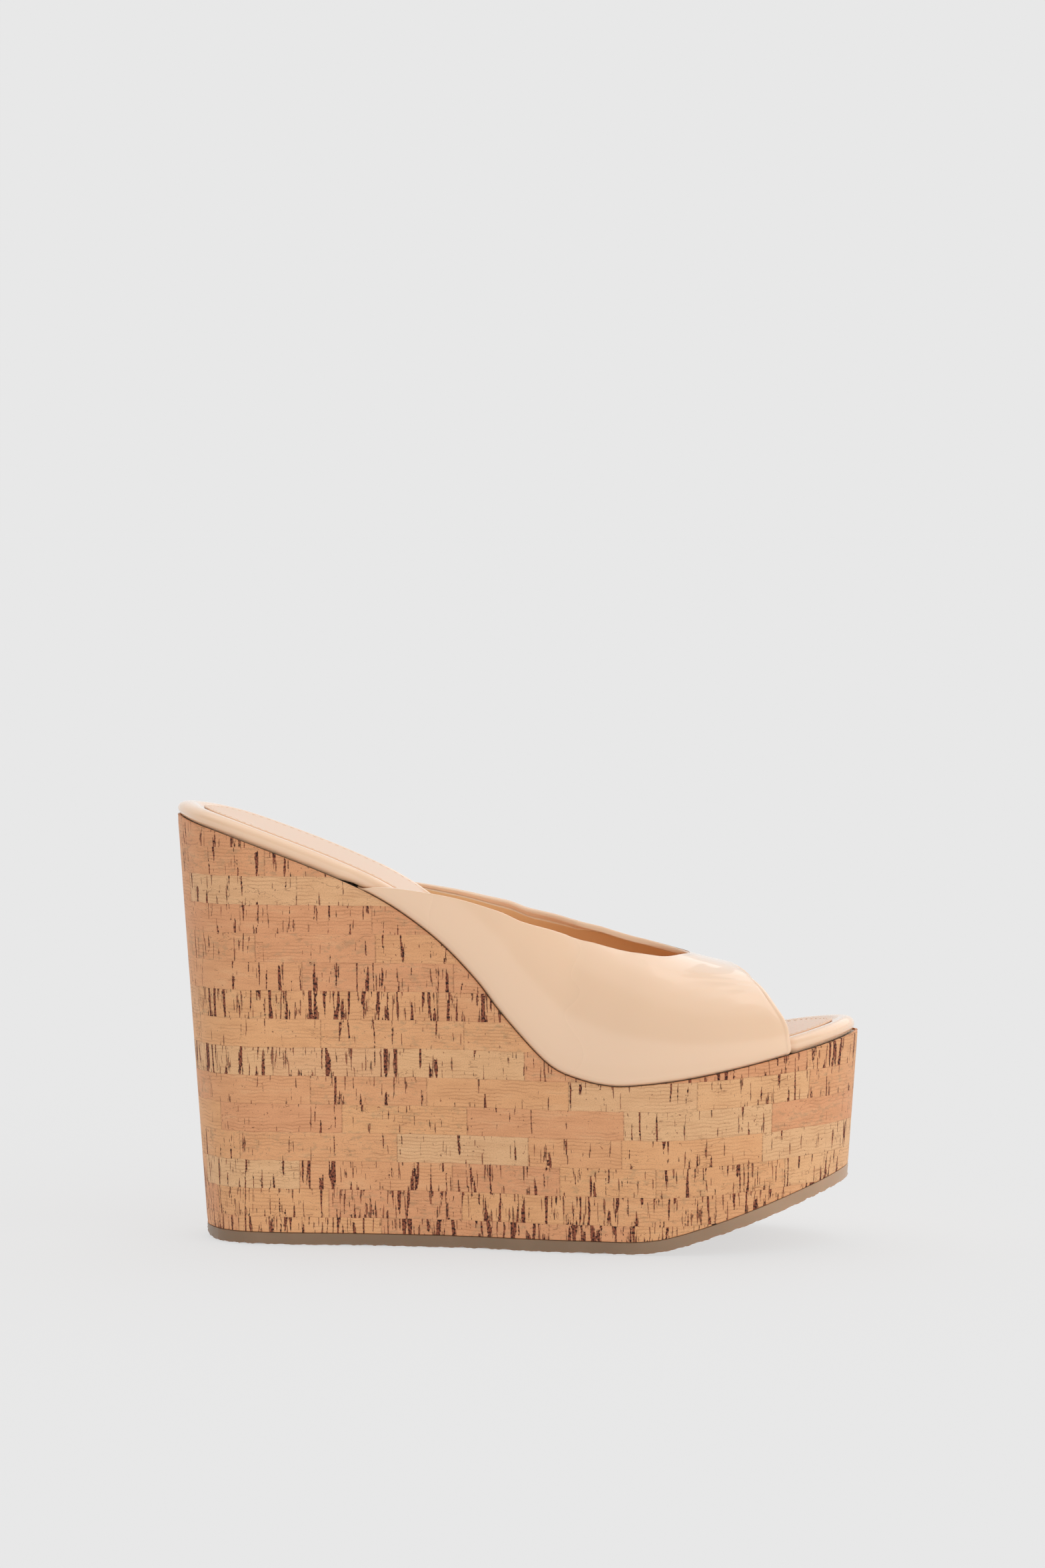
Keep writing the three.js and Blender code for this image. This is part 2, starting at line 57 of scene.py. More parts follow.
OUTLINE_POINTS = np.array([
    (0, 0), (2, -9), (8, -19), (18, -25.5), (34, -28), (60, -28.5), (90, -31),
    (120, -36.5), (150, -40.5), (175, -38.5), (192, -32), (204, -23), (211, -14),
    (215, -5), (216, 2), (215, 7), (211, 15), (203, 24.5), (190, 33), (170, 38.5),
    (150, 37), (120, 31.5), (90, 26.5), (60, 26.5), (34, 27.5), (18, 25.5), (8, 19), (2, 9),
], dtype=float)
FOOTBED_POINTS = [
    (-20, 141.2), (0, 134.2), (18.8, 128.5), (41.5, 120.2), (56.5, 114), (66.5, 109.1),
    (76.3, 102.8), (86.3, 94.8), (96.6, 84.1), (103.8, 74.8), (114.7, 62.7), (121.4, 57.1),
    (129.1, 54.1), (136.7, 52.5), (144.1, 52.3), (159, 54), (173.9, 56.8), (196, 61.8),
    (216, 66.3), (240, 71.9),
]
CROWN_POINTS = [
    (40, 33), (60, 34), (80, 37), (100, 42.5), (118, 47.5), (130, 48.3), (145, 44.7),
    (162, 37.2), (182, 28.5), (196, 21.8), (215, 14),
]
TOPLINE_POINTS = [
    (-8, 54), (0, 63), (10, 75), (20, 86), (30, 96), (40, 104.5), (50, 113), (55, 120),
    (60, 137), (65, 150), (70, 156), (80, 161), (90, 164), (100, 161), (105, 156), (110, 149),
    (115, 134), (120, 120), (125, 115), (130, 111), (140, 104), (150, 97), (160, 89),
    (170, 79), (180, 67), (188, 57),
]
TOE_EDGE_POINTS = [
    (-20, 195), (0, 195), (20, 195), (40, 192.3), (58, 189.3), (75, 184.4), (90, 181.4),
    (105, 184.4),
]
TREAD_POINTS = np.array([
    (-20, 3), (8.6, 2.6), (9.2, 1.2), (10.4, 0.3), (12.5, 0), (150, 0), (156, 0.9),
    (162, 2.5), (168.5, 4.6), (177, 7.3), (185, 10.2), (193, 13.2), (203.5, 17), (213, 20.4),
    (240, 30),
], dtype=float)

WALL_TAPER, END_TAPER = 0.048, 0.021
SOLE_THICKNESS = 3.9
ROLL_INSET, ROLL_HEIGHT, ROLL_CREST = 3.7, 2.8, 5.5
FLANGE_INSET, MARGIN_INSET = 12.2, 11.0
UPPER_PROUD, CROWN_SHAPE = 1.0, 2.2
TOPLINE_TAIL_X = 58.8                # the turned-under margin reaches back to here
TOE_SETBACK = 5.5                    # how much further back the toe edge is on the inner side
WRAP_FREE_X = 195.4                  # the wrapped edge stands free of the upper past here
HEEL_OVERHANG = 1.2
SOCK_INSET, SOCK_LOW, SOCK_TOP = 7.0, 4.82, 5.5
FOAM_INSET, FOAM_LOW, FOAM_TOP = 3.8, 3.42, 4.7
SEAM_INSET, SEAM_HEIGHT = 8.5, 5.47
GROOVE_BORDER = 11.0


def smoothstep(x, low, high):
    t = np.clip((np.asarray(x, float) - low) / (high - low), 0, 1)
    return t * t * (3 - 2 * t)


def mix(a, b, t):
    return a + (b - a) * t


def spline(points, steps=24):
    """Height along X through a uniform Catmull-Rom curve."""
    p = np.array(points, float)
    count = len(p)
    rows = []
    for g in np.linspace(0, count - 1, count * steps + 1):
        k = min(int(g), count - 2)
        t = g - k
        a, b, c, d = p[max(k - 1, 0)], p[k], p[k + 1], p[min(k + 2, count - 1)]
        v0, v1 = (c - a) / 2, (d - b) / 2
        rows.append((2 * b - 2 * c + v0 + v1) * t ** 3
                    + (-3 * b + 3 * c - 2 * v0 - v1) * t ** 2 + v0 * t + b)
    xs, zs = np.array(rows).T
    return lambda x: np.interp(x, xs, zs)


def closed_curve(points, steps=90):
    """Closed centripetal Catmull-Rom curve, sampled, with its length from the start."""
    count = len(points)
    rows = []
    for k in range(count):
        a, b, c, d = (points[(k + j) % count] for j in (-1, 0, 1, 2))
        d0, d1, d2 = (math.sqrt(math.dist(*pair)) for pair in ((a, b), (b, c), (c, d)))
        t1 = ((b - a) / d0 - (c - a) / (d0 + d1) + (c - b) / d1) * d1
        t2 = ((c - b) / d1 - (d - b) / (d1 + d2) + (d - c) / d2) * d1
        t = np.linspace(0, 1, steps, endpoint=False)[:, None]
        rows.append(b + t1 * t + (-3 * b + 3 * c - 2 * t1 - t2) * t ** 2
                    + (2 * b - 2 * c + t1 + t2) * t ** 3)
    loop = np.vstack(rows + [points[:1]])
    return loop, np.r_[0, np.cumsum(np.linalg.norm(np.diff(loop, axis=0), axis=1))]


footbed = spline(FOOTBED_POINTS)
crown = spline(CROWN_POINTS)
topline = spline(TOPLINE_POINTS)
toe_edge = spline(TOE_EDGE_POINTS)
LOOP, LOOP_LENGTH = closed_curve(OUTLINE_POINTS)
TOE_TIP = int(np.argmax(LOOP[:, 0]))
PERIMETER = LOOP_LENGTH[-1]


def eased(x, line):
    """Height of a line of straight runs, with its corners eased in front of the waist."""
    x = np.asarray(x, float)
    reach = 7.0 * smoothstep(x, 120, 150)
    shifts = np.linspace(-1, 1, 9)
    return np.mean([np.interp(x + reach * shift, *line) for shift in shifts], axis=0)


def tread(x):
    """Height of the ground side of the outsole."""
    return eased(x, TREAD_POINTS.T)


def sole_line():
    """The tread profile moved up square to itself by the outsole's thickness."""
    p = TREAD_POINTS
    before, after = np.vstack([p[:1], p[:-1]]), np.vstack([p[1:], p[-1:]])
    slope = np.arctan2(after[:, 1] - before[:, 1], after[:, 0] - before[:, 0])
    heel = p[:, 0] < 20
    slope[heel] = 0
    lift = np.where(heel, SOLE_THICKNESS - p[:, 1], SOLE_THICKNESS)
    return p[:, 0] - np.sin(slope) * lift, p[:, 1] + np.cos(slope) * lift


SOLE_LINE = sole_line()


def sole_top(x):
    return eased(x, SOLE_LINE)


def footbed_normal(x):
    slope = (footbed(x + 1) - footbed(x - 1)) / 2
    n = np.stack([-slope, np.zeros_like(slope), np.ones_like(slope)], -1)
    return n / np.linalg.norm(n, axis=-1, keepdims=True)


def over_footbed(x, y, height):
    """Points over plan position x, y, at a height measured square to the wedge top."""
    x, y, height = np.broadcast_arrays(*(np.asarray(v, float) for v in (x, y, height)))
    return np.stack([x, y, footbed(x)], -1) + footbed_normal(x) * height[..., None]


def outline_stops(count, start=0.0, end=1.0):
    """Even stops round the plan outline: x, y, inward x and y, and length from the heel back."""
    along = (start + (np.arange(count) + 0.5) / count * (end - start)) * PERIMETER
    x, y = (np.interp(along, LOOP_LENGTH, LOOP[:, k]) for k in (0, 1))
    dx, dy = (np.interp((along + 0.4) % PERIMETER, LOOP_LENGTH, LOOP[:, k])
              - np.interp((along - 0.4) % PERIMETER, LOOP_LENGTH, LOOP[:, k]) for k in (0, 1))
    size = np.hypot(dx, dy)
    return x, y, -dy / size, dx / size, along


def side_y(side, x):
    """Plan outline's y on one side, -1 outer or +1 inner."""
    half = LOOP[:TOE_TIP + 1] if side < 0 else LOOP[TOE_TIP:][::-1]
    return np.interp(x, half[:, 0], half[:, 1])


def side_station(side, x):
    slope = side_y(side, x + 0.5) - side_y(side, x - 0.5)
    size = np.hypot(slope, 1) * side
    return x, side_y(side, x), slope / size, -1 / size


def edge_point(x, y, in_x, in_y, inset, height):
    """Footbed edge, inset and raised; through the tight bend the insets run straight across."""
    straight = smoothstep(x, 70, 90) * (1 - smoothstep(x, 150, 165))
    safe = np.where(straight > 0, in_y, 1.0)
    across = np.where(straight > 0, mix(in_y, 1 / safe, straight), in_y)
    return over_footbed(x + in_x * inset * (1 - straight), y + inset * across, height)


# ------------------------------------------------------------------ meshes, materials, helpers


def linear(text):
    """sRGB hex to a linear colour with alpha."""
    parts = [int(text[k:k + 2], 16) / 255 for k in (1, 3, 5)]
    return (*((c / 12.92 if c <= 0.04045 else ((c + 0.055) / 1.055) ** 2.4) for c in parts), 1.0)


def wave_noise(seed, at, *sizes):
    """Smooth repeatable waviness from -1 to 1 along a length, from a few wave sizes in mm."""
    rng = np.random.default_rng(seed)
    total = 0
    for size in sizes:
        for _ in range(3):
            total = total + np.sin(2 * math.pi * at / (size * rng.uniform(0.75, 1.3))
                                   + rng.uniform(0, 6.3))
    return total / (3 * len(sizes))


def new_piece(name, points, faces, uv=None):
    """Mesh object from points in mm, with faces outwards, smooth shading and a UV map."""
    mesh = bpy.data.meshes.new(name)
    places = (np.asarray(points, float).reshape(-1, 3) + HEEL_BACK) * MM
    mesh.from_pydata(places.tolist(), [], faces)
    corners = np.array([f for f in faces if len(f) == 4])
    a, b, c, d = (places[corners[:, k]] for k in range(4))
    volume = np.einsum("ij,ij->", a, np.cross(b, c)) + np.einsum("ij,ij->", a, np.cross(c, d))
    if volume < 0:
        mesh.flip_normals()
    if uv is not None:
        layer = mesh.uv_layers.new(name="UVMap")
        index = np.zeros(len(mesh.loops), int)
        mesh.loops.foreach_get("vertex_index", index)
        values = np.asarray(uv, float).reshape(-1, 2)[index] / UV_SPAN
        layer.data.foreach_set("uv", values.astype(np.float32).ravel())
    mesh.shade_smooth()
    mesh.set_sharp_from_angle(angle=math.radians(50))
    mesh.update()
    piece = bpy.data.objects.new(name, mesh)
    bpy.context.scene.collection.objects.link(piece)
    return piece


# The end faces of nested rings run against their skin. It is a known fault, and 1 here would mend
# it.
NESTED_END_TURN = -1


def ring_faces(rings, looped, end_turn):
    """Quads over rings of closed sections, in rows. Open runs are closed across each end,
    with faces that run with the skin when end_turn is 1 and against it when it is -1."""
    rows, size = rings.shape[:2]
    at = np.arange(rows * size).reshape(rows, size)
    here, after = (at, np.roll(at, -1, 0)) if looped else (at[:-1], at[1:])
    quads = np.stack([here, np.roll(here, -1, 1), np.roll(after, -1, 1), after], -1)
    faces = quads.reshape(-1, 4).tolist()
    if not looped:
        for row, turn in ((0, end_turn), (rows - 1, -end_turn)):
            for k in range(size // 2 - 1):
                pair = [at[row, k], at[row, -1 - k], at[row, -2 - k], at[row, k + 1]]
                faces.append([int(v) for v in pair[::turn]])
    return faces


def skin(name, rings, uv=None, looped=False, end_turn=1):
    """Closed piece from rings of closed sections."""
    return new_piece(name, rings, ring_faces(rings, looped, end_turn), uv)


def add(tree, kind, inputs=None, **settings):
    """Adds a node, sets its properties, and fills its sockets with values or links."""
    made = tree.nodes.new(kind)
    for key, value in settings.items():
        setattr(made, key, value)
    for key, value in (inputs or {}).items():
        if isinstance(value, bpy.types.NodeSocket):
            tree.links.new(value, made.inputs[key])
        else:
            made.inputs[key].default_value = value
    return made


def new_material(name):
    """An empty material, with no nodes, and its tree."""
    material = bpy.data.materials.new(name)
    material.use_nodes = True
    material.node_tree.nodes.clear()
    return material, material.node_tree


def surface(tree, **sockets):
    """Principled shader into the output; names with underscores stand for socket names."""
    shader = add(tree, "ShaderNodeBsdfPrincipled",
                 {key.replace("_", " "): value for key, value in sockets.items()})
    add(tree, "ShaderNodeOutputMaterial", {"Surface": shader.outputs[0]})


def dress(node, *materials):
    """Puts finishes on a carried-over CAD node, by its material slots."""
    piece = bpy.data.objects[node]
    for slot in piece.material_slots:
        slot.link = "OBJECT"
        slot.material = materials[0]


def settle(piece, material, slot, *nodes):
    """Gives a finished piece its material and its body, and hides the CAD nodes it stands for. The
    slot is not used.
    """
    piece.data.materials.clear()
    piece.data.materials.append(material)
    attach(piece, "root")
    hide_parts(*nodes)


# ------------------------------------------------------------------ finishes


def patent_leather(name, colour, sheen_colour, coat=1.0):
    """Calf leather under a cast, clear polyurethane coat: a wet gloss over a soft nude tint.
    The coat is smooth, with only a faint long waviness from the leather beneath."""
    material, tree = new_material(name)
    place = add(tree, "ShaderNodeTexCoord").outputs["Object"]
    cloud = add(tree, "ShaderNodeTexNoise",
                {"Vector": place, "Scale": 14.0, "Detail": 3.0, "Roughness": 0.5})
    tint = add(tree, "ShaderNodeMapRange",
               {"Value": cloud.outputs["Fac"], "From Min": 0.2, "From Max": 0.8,
                "To Min": 0.0, "To Max": 0.25})
    base = add(tree, "ShaderNodeMix", {"Factor": tint.outputs[0], "A": colour, "B": sheen_colour},
               data_type="RGBA")
    # The film is wavy over about 9 mm.
    wave = add(tree, "ShaderNodeTexNoise", {"Vector": place, "Scale": 110.0, "Detail": 1.0})
    bump = add(tree, "ShaderNodeBump", {"Height": wave.outputs["Fac"], "Strength": 0.5,
                                        "Distance": 0.00012})
    rough = add(tree, "ShaderNodeMapRange", {"Value": cloud.outputs["Fac"], "To Min": 0.24,
                                             "To Max": 0.32})
    surface(tree, Base_Color=base.outputs["Result"], Roughness=rough.outputs[0],
            Normal=bump.outputs[0], Coat_Weight=coat, Coat_Roughness=0.03, Coat_IOR=1.52,
            Subsurface_Weight=0.06, Subsurface_Scale=0.001, Specular_IOR_Level=0.35)
    return material


def cork_veneer(light, pink, dark, sizes):
    """Natural cork cut in strips and pressed in rows: matt, warm, with the growth lines lying
    along each row and the brown breathing channels standing across it."""
    material, tree = new_material("Natural cork veneer, pressed rows")
    row_height = sizes.cork_row / MM / UV_SPAN
    block = sizes.cork_block / MM / UV_SPAN

    def maths(kind, a, b=0.0, c=0.0, clamp=False):
        return add(tree, "ShaderNodeMath", {0: a, 1: b, 2: c}, operation=kind,
                   use_clamp=clamp).outputs[0]

    def place(across, up, deep):
        return add(tree, "ShaderNodeCombineXYZ", {0: across, 1: up, 2: deep}).outputs[0]

    def noise(vector, detail=2.0, roughness=0.5, distortion=0.0):
        return add(tree, "ShaderNodeTexNoise",
                   {"Vector": vector, "Scale": 1.0, "Detail": detail, "Roughness": roughness,
                    "Distortion": distortion}).outputs["Fac"]

    def window(value, low, high):
        return add(tree, "ShaderNodeMapRange", {"Value": value, "From Min": low, "From Max": high},
                   interpolation_type="SMOOTHSTEP").outputs[0]

    def blend(factor, a, b, kind="MIX"):
        return add(tree, "ShaderNodeMix", {"Factor": factor, "A": a, "B": b},
                   data_type="RGBA", blend_type=kind).outputs["Result"]

    split = add(tree, "ShaderNodeSeparateXYZ",
                {0: add(tree, "ShaderNodeUVMap", uv_map="UVMap").outputs[0]})
    across, up = split.outputs[0], split.outputs[1]
    # Rows wander by a few tenths of a millimetre.
    drift = maths("MULTIPLY_ADD", noise(place(maths("MULTIPLY", across, 9.0), 0.0, 3.1)),
                  0.012, -0.006)
    level = maths("DIVIDE", maths("ADD", up, drift), row_height)
    row = maths("FLOOR", level)
    in_row = maths("SUBTRACT", level, row)
    lane = maths("MULTIPLY_ADD", row, 17.31, maths("DIVIDE", across, block))
    cell = add(tree, "ShaderNodeTexVoronoi", {"W": lane, "Scale": 1.0, "Randomness": 0.85},
               voronoi_dimensions="1D", feature="F1")
    edge = add(tree, "ShaderNodeTexVoronoi", {"W": lane, "Scale": 1.0, "Randomness": 0.85},
               voronoi_dimensions="1D", feature="DISTANCE_TO_EDGE").outputs["Distance"]
    chance = add(tree, "ShaderNodeSeparateColor", {0: cell.outputs["Color"]})
    tone, crowd, age = chance.outputs[0], chance.outputs[1], chance.outputs[2]
    lot = maths("MULTIPLY", tone, 41.0)

    # How crowded each row is with channels, from the floor up; blocks vary about that.
    rows = add(tree, "ShaderNodeValToRGB", {0: maths("DIVIDE", row, 16.0)})
    rows.color_ramp.interpolation = "CONSTANT"
    crowded = (1.25, 1.2, 0.85, 0.42, 0.3, 0.48, 1.0, 0.3, 1.1, 0.6, 0.25, 0.65, 0.6, 0.8, 0.8)
    for k, value in enumerate(crowded):
        stop = rows.color_ramp.elements[k] if k < 2 else rows.color_ramp.elements.new(k / 16)
        stop.position = max(k / 16 - 0.01, 0)
        stop.color = (value, value, value, 1)
    crowd = maths("MULTIPLY_ADD", crowd, 0.5, maths("MULTIPLY_ADD", rows.outputs[0], 0.85, -0.2),
                  clamp=True)

    # Growth lines, about 1.1 mm apart, rippling every 5 mm or so, in patches.
    ripple = noise(place(maths("MULTIPLY", across, 19.0), maths("MULTIPLY", up, 13.0), lot), 2.0)
    phase = maths("MULTIPLY_ADD", up, 565.0, maths("MULTIPLY", ripple, 11.0))
    growth = maths("MULTIPLY_ADD", maths("SINE", phase), 0.5, 0.5)
    patch = window(noise(place(maths("MULTIPLY", across, 8.0), maths("MULTIPLY", up, 20.0),
                               lot), 3.0), 0.42, 0.62)
    growth = maths("MULTIPLY", window(growth, 0.55, 1.0), patch)
    cloud = noise(place(maths("MULTIPLY", across, 9.0), maths("MULTIPLY", up, 40.0), lot), 4.0, 0.6)
    line = noise(place(maths("MULTIPLY", across, 9.0), maths("MULTIPLY", up, 42.0), lot),
                 3.0, 0.55, 0.5)
    crease = maths("SUBTRACT", 1.0, window(maths("ABSOLUTE", maths("SUBTRACT", line, 0.5)),
                                           0.0, 0.012))
    crease = maths("MULTIPLY", crease, window(noise(place(
        maths("MULTIPLY", across, 13.0), maths("MULTIPLY", up, 11.0), lot)), 0.52, 0.6))
    # Breathing channels, 0.5 to 2 mm wide, most of them as tall as the row.
    ragged = noise(place(maths("MULTIPLY", across, 170.0), maths("MULTIPLY", up, 120.0), 0.0))
    thick = noise(place(maths("MULTIPLY", across, 66.0),
                        maths("MULTIPLY_ADD", in_row, 0.5, maths("MULTIPLY", row, 7.7)), lot),
                  2.0, 0.45, 0.15)
    thin = noise(place(maths("MULTIPLY", across, 130.0),
                       maths("MULTIPLY_ADD", in_row, 1.1, maths("MULTIPLY", row, 5.3)), 4.2),
                 2.0, 0.5, 0.1)
    thick = maths("MULTIPLY_ADD", ragged, 0.09, thick)
    thin = maths("MULTIPLY_ADD", ragged, 0.08, thin)
    channel = window(maths("ADD", thick, maths("MULTIPLY_ADD", crowd, 0.14, -0.772)), 0.0, 0.015)
    hair = window(maths("ADD", thin, maths("MULTIPLY_ADD", crowd, 0.11, -0.752)), 0.0, 0.02)
    # Specks of 0.4 to 2 mm, and the open grain between them.
    speck = window(noise(place(maths("MULTIPLY", across, 110.0), maths("MULTIPLY", up, 85.0),
                               lot), 2.0), 0.71, 0.74)
    grain = noise(place(maths("MULTIPLY", across, 300.0), maths("MULTIPLY", up, 260.0), 0.0), 3.0)
    # Weathered, greyish patches on a few blocks.
    bark = maths("MULTIPLY", window(age, 0.7, 0.78),
                 window(noise(place(maths("MULTIPLY", across, 30.0),
                                    maths("MULTIPLY", up, 60.0), lot), 5.0, 0.65), 0.5, 0.66))
    joint = maths("MULTIPLY", maths("SUBTRACT", 1.0, window(edge, 0.0, 0.009)),
                  window(ragged, 0.3, 0.6))
    seam = maths("SUBTRACT", 1.0, window(maths("MINIMUM", in_row, maths("SUBTRACT", 1.0, in_row)),
                                         0.0, 0.03))
    seam = maths("MULTIPLY", seam, window(noise(place(maths("MULTIPLY", across, 16.0), row, 9.0),
                                                3.0), 0.4, 0.7))

    body = blend(window(tone, 0.1, 0.9), light, pink)
    body = blend(maths("MULTIPLY", window(age, 0.34, 0.04), 0.7), body, linear("#e8bf90"))
    body = blend(maths("MULTIPLY", window(cloud, 0.45, 0.75), 0.25), body, linear("#b97f54"))
    body = blend(maths("MULTIPLY", window(cloud, 0.5, 0.25), 0.25), body, linear("#ecc193"))
    body = blend(maths("MULTIPLY", growth, 0.32), body, linear("#a06a42"))
    body = blend(maths("MULTIPLY", window(grain, 0.4, 0.72), 0.3), body, linear("#a8724b"))
    body = blend(maths("MULTIPLY", bark, 0.3), body, linear("#857a5c"))
    body = blend(maths("MULTIPLY", crease, 0.55), body, linear("#80502f"))
    body = blend(maths("MULTIPLY", joint, 0.5), body, linear("#6e4229"))
    body = blend(maths("MULTIPLY", seam, 0.5), body, linear("#8a5836"))
    stain = blend(window(ragged, 0.42, 0.62), dark, linear("#301a14"))
    marks = maths("MAXIMUM", maths("MAXIMUM", channel, maths("MULTIPLY", hair, 0.85)),
                  maths("MULTIPLY", speck, 0.7))
    body = blend(marks, body, stain)

    height = maths("SUBTRACT", maths("MULTIPLY", grain, 0.35), maths("MULTIPLY", growth, 0.25))
    height = maths("SUBTRACT", height, maths("MULTIPLY", marks, 0.9))
    height = maths("SUBTRACT", height, maths("MAXIMUM", joint, maths("MULTIPLY", seam, 0.6)))
    bump = add(tree, "ShaderNodeBump", {"Height": height, "Strength": 0.5, "Distance": 0.00014})
    rough = maths("MULTIPLY_ADD", marks, 0.2, 0.55)
    surface(tree, Base_Color=body, Roughness=rough, Normal=bump.outputs[0],
            Specular_IOR_Level=0.3)
    return material


def crepe_rubber(colour, pale):
    """Translucent taupe rubber sheet, die cut: slightly waxy, with a painted glow, paler towards
    the toe.
    """
    material, tree = new_material("Translucent rubber, die cut")
    place = add(tree, "ShaderNodeTexCoord").outputs["Object"]
    split = add(tree, "ShaderNodeSeparateXYZ", {0: place})
    # Painted glow: paler towards the toe, standing in for light through the thin toe spring and
    # from the floor below.
    front = add(tree, "ShaderNodeMapRange", {"Value": split.outputs[0], "From Min": 0.03,
                                             "From Max": 0.105})
    cloud = add(tree, "ShaderNodeTexNoise", {"Vector": place, "Scale": 60.0, "Detail": 3.0})
    share = add(tree, "ShaderNodeMath", {0: cloud.outputs["Fac"], 1: 0.5,
                                         2: front.outputs[0]}, operation="MULTIPLY_ADD")
    share = add(tree, "ShaderNodeMath", {0: share.outputs[0], 1: 0.25}, operation="SUBTRACT",
                use_clamp=True)
    base = add(tree, "ShaderNodeMix", {"Factor": share.outputs[0], "A": colour, "B": pale},
               data_type="RGBA")
    # Knife marks of the die, about 0.6 mm apart.
    scratch = add(tree, "ShaderNodeMapping", {"Vector": place, "Scale": (900.0, 900.0, 160.0)})
    marks = add(tree, "ShaderNodeTexNoise", {"Vector": scratch.outputs[0], "Scale": 1.0})
    bump = add(tree, "ShaderNodeBump", {"Height": marks.outputs["Fac"], "Strength": 0.35,
                                        "Distance": 0.0001})
    surface(tree, Base_Color=base.outputs["Result"], Roughness=0.38, Normal=bump.outputs[0],
            Subsurface_Weight=0.35, Subsurface_Scale=0.002, IOR=1.5)
    return material


def grained_leather(name, colour, deep, grain_mm, edge=None):
    """Thin lining leather, drum dyed: matt, with fine closed pores; a strip by its top edge is
    painted paler as a highlight.
    """
    material, tree = new_material(name)
    place = add(tree, "ShaderNodeTexCoord").outputs["Object"]
    pores = add(tree, "ShaderNodeTexVoronoi", {"Vector": place, "Scale": 1000.0 / grain_mm})
    cloud = add(tree, "ShaderNodeTexNoise", {"Vector": place, "Scale": 45.0, "Detail": 5.0,
                                             "Roughness": 0.6})
    base = add(tree, "ShaderNodeMix", {"Factor": cloud.outputs["Fac"], "A": colour, "B": deep},
               data_type="RGBA").outputs["Result"]
    if edge is not None:
        # Paler strip about 1.5 mm wide, past the fold of the patent leather: a painted highlight
        # along the lining's top edge.
        split = add(tree, "ShaderNodeSeparateXYZ",
                    {0: add(tree, "ShaderNodeUVMap", uv_map="UVMap").outputs[0]})
        near = add(tree, "ShaderNodeMath", {0: split.outputs[0], 1: 0.042},
                   operation="LESS_THAN")
        base = add(tree, "ShaderNodeMix", {"Factor": near.outputs[0], "A": base, "B": edge},
                   data_type="RGBA").outputs["Result"]
    bump = add(tree, "ShaderNodeBump", {"Height": pores.outputs["Distance"], "Strength": 0.35,
                                        "Distance": 0.00008})
    surface(tree, Base_Color=base, Roughness=0.52, Normal=bump.outputs[0],
            Specular_IOR_Level=0.35)
    return material


def cell_foam(name, colour, cell_mm):
    """Moulded closed-cell foam: chalky, with small pits where cells are cut open."""
    material, tree = new_material(name)
    place = add(tree, "ShaderNodeTexCoord").outputs["Object"]
    cells = add(tree, "ShaderNodeTexVoronoi", {"Vector": place, "Scale": 1000.0 / cell_mm})
    # Painted shade: the foam is darker in the pits where cells are cut open.
    shade = add(tree, "ShaderNodeMix", {"Factor": cells.outputs["Distance"],
                                        "A": tuple(c * 0.82 for c in colour[:3]) + (1.0,),
                                        "B": colour}, data_type="RGBA")
    bump = add(tree, "ShaderNodeBump", {"Height": cells.outputs["Distance"], "Strength": 0.4,
                                        "Distance": 0.0002})
    surface(tree, Base_Color=shade.outputs["Result"], Roughness=0.9, Normal=bump.outputs[0])
    return material


def fibre_board(name, colour, fleck, fibre_mm):
    """Pressed cellulose board: matt, with short fibres lying flat in every direction."""
    material, tree = new_material(name)
    place = add(tree, "ShaderNodeTexCoord").outputs["Object"]
    fibres = add(tree, "ShaderNodeTexNoise", {"Vector": place, "Scale": 1000.0 / fibre_mm,
                                              "Detail": 4.0, "Distortion": 2.0})
    base = add(tree, "ShaderNodeMix", {"Factor": fibres.outputs["Fac"], "A": colour, "B": fleck},
               data_type="RGBA")
    bump = add(tree, "ShaderNodeBump", {"Height": fibres.outputs["Fac"], "Strength": 0.3,
                                        "Distance": 0.0001})
    surface(tree, Base_Color=base.outputs["Result"], Roughness=0.88, Normal=bump.outputs[0])
    return material


def brushed_metal(name, colour, roughness):
    """Rolled or drawn metal: clean, with fine lines along its length and a little dulling."""
    material, tree = new_material(name)
    place = add(tree, "ShaderNodeTexCoord").outputs["Object"]
    along = add(tree, "ShaderNodeMapping", {"Vector": place, "Scale": (60.0, 2500.0, 2500.0)})
    lines = add(tree, "ShaderNodeTexNoise", {"Vector": along.outputs[0], "Scale": 1.0})
    rough = add(tree, "ShaderNodeMapRange", {"Value": lines.outputs["Fac"],
                                             "To Min": roughness - 0.08,
                                             "To Max": roughness + 0.12})
    surface(tree, Base_Color=colour, Metallic=1.0, Roughness=rough.outputs[0])
    return material


def woven_cloth(name, warp, weft, thread_mm):
    """Plain-woven cotton backing cloth: matt, with threads crossing over and under."""
    material, tree = new_material(name)
    place = add(tree, "ShaderNodeUVMap", uv_map="UVMap").outputs[0]
    scale = UV_SPAN / thread_mm / 2
    check = add(tree, "ShaderNodeTexChecker", {"Vector": place, "Color1": warp, "Color2": weft,
                                               "Scale": scale * 2})
    waves = add(tree, "ShaderNodeTexWave", {"Vector": place, "Scale": scale, "Distortion": 0.4})
    bump = add(tree, "ShaderNodeBump", {"Height": waves.outputs["Fac"], "Strength": 0.5,
                                        "Distance": 0.00012})
    surface(tree, Base_Color=check.outputs["Color"], Roughness=0.92, Normal=bump.outputs[0],
            Sheen_Weight=0.2)
    return material


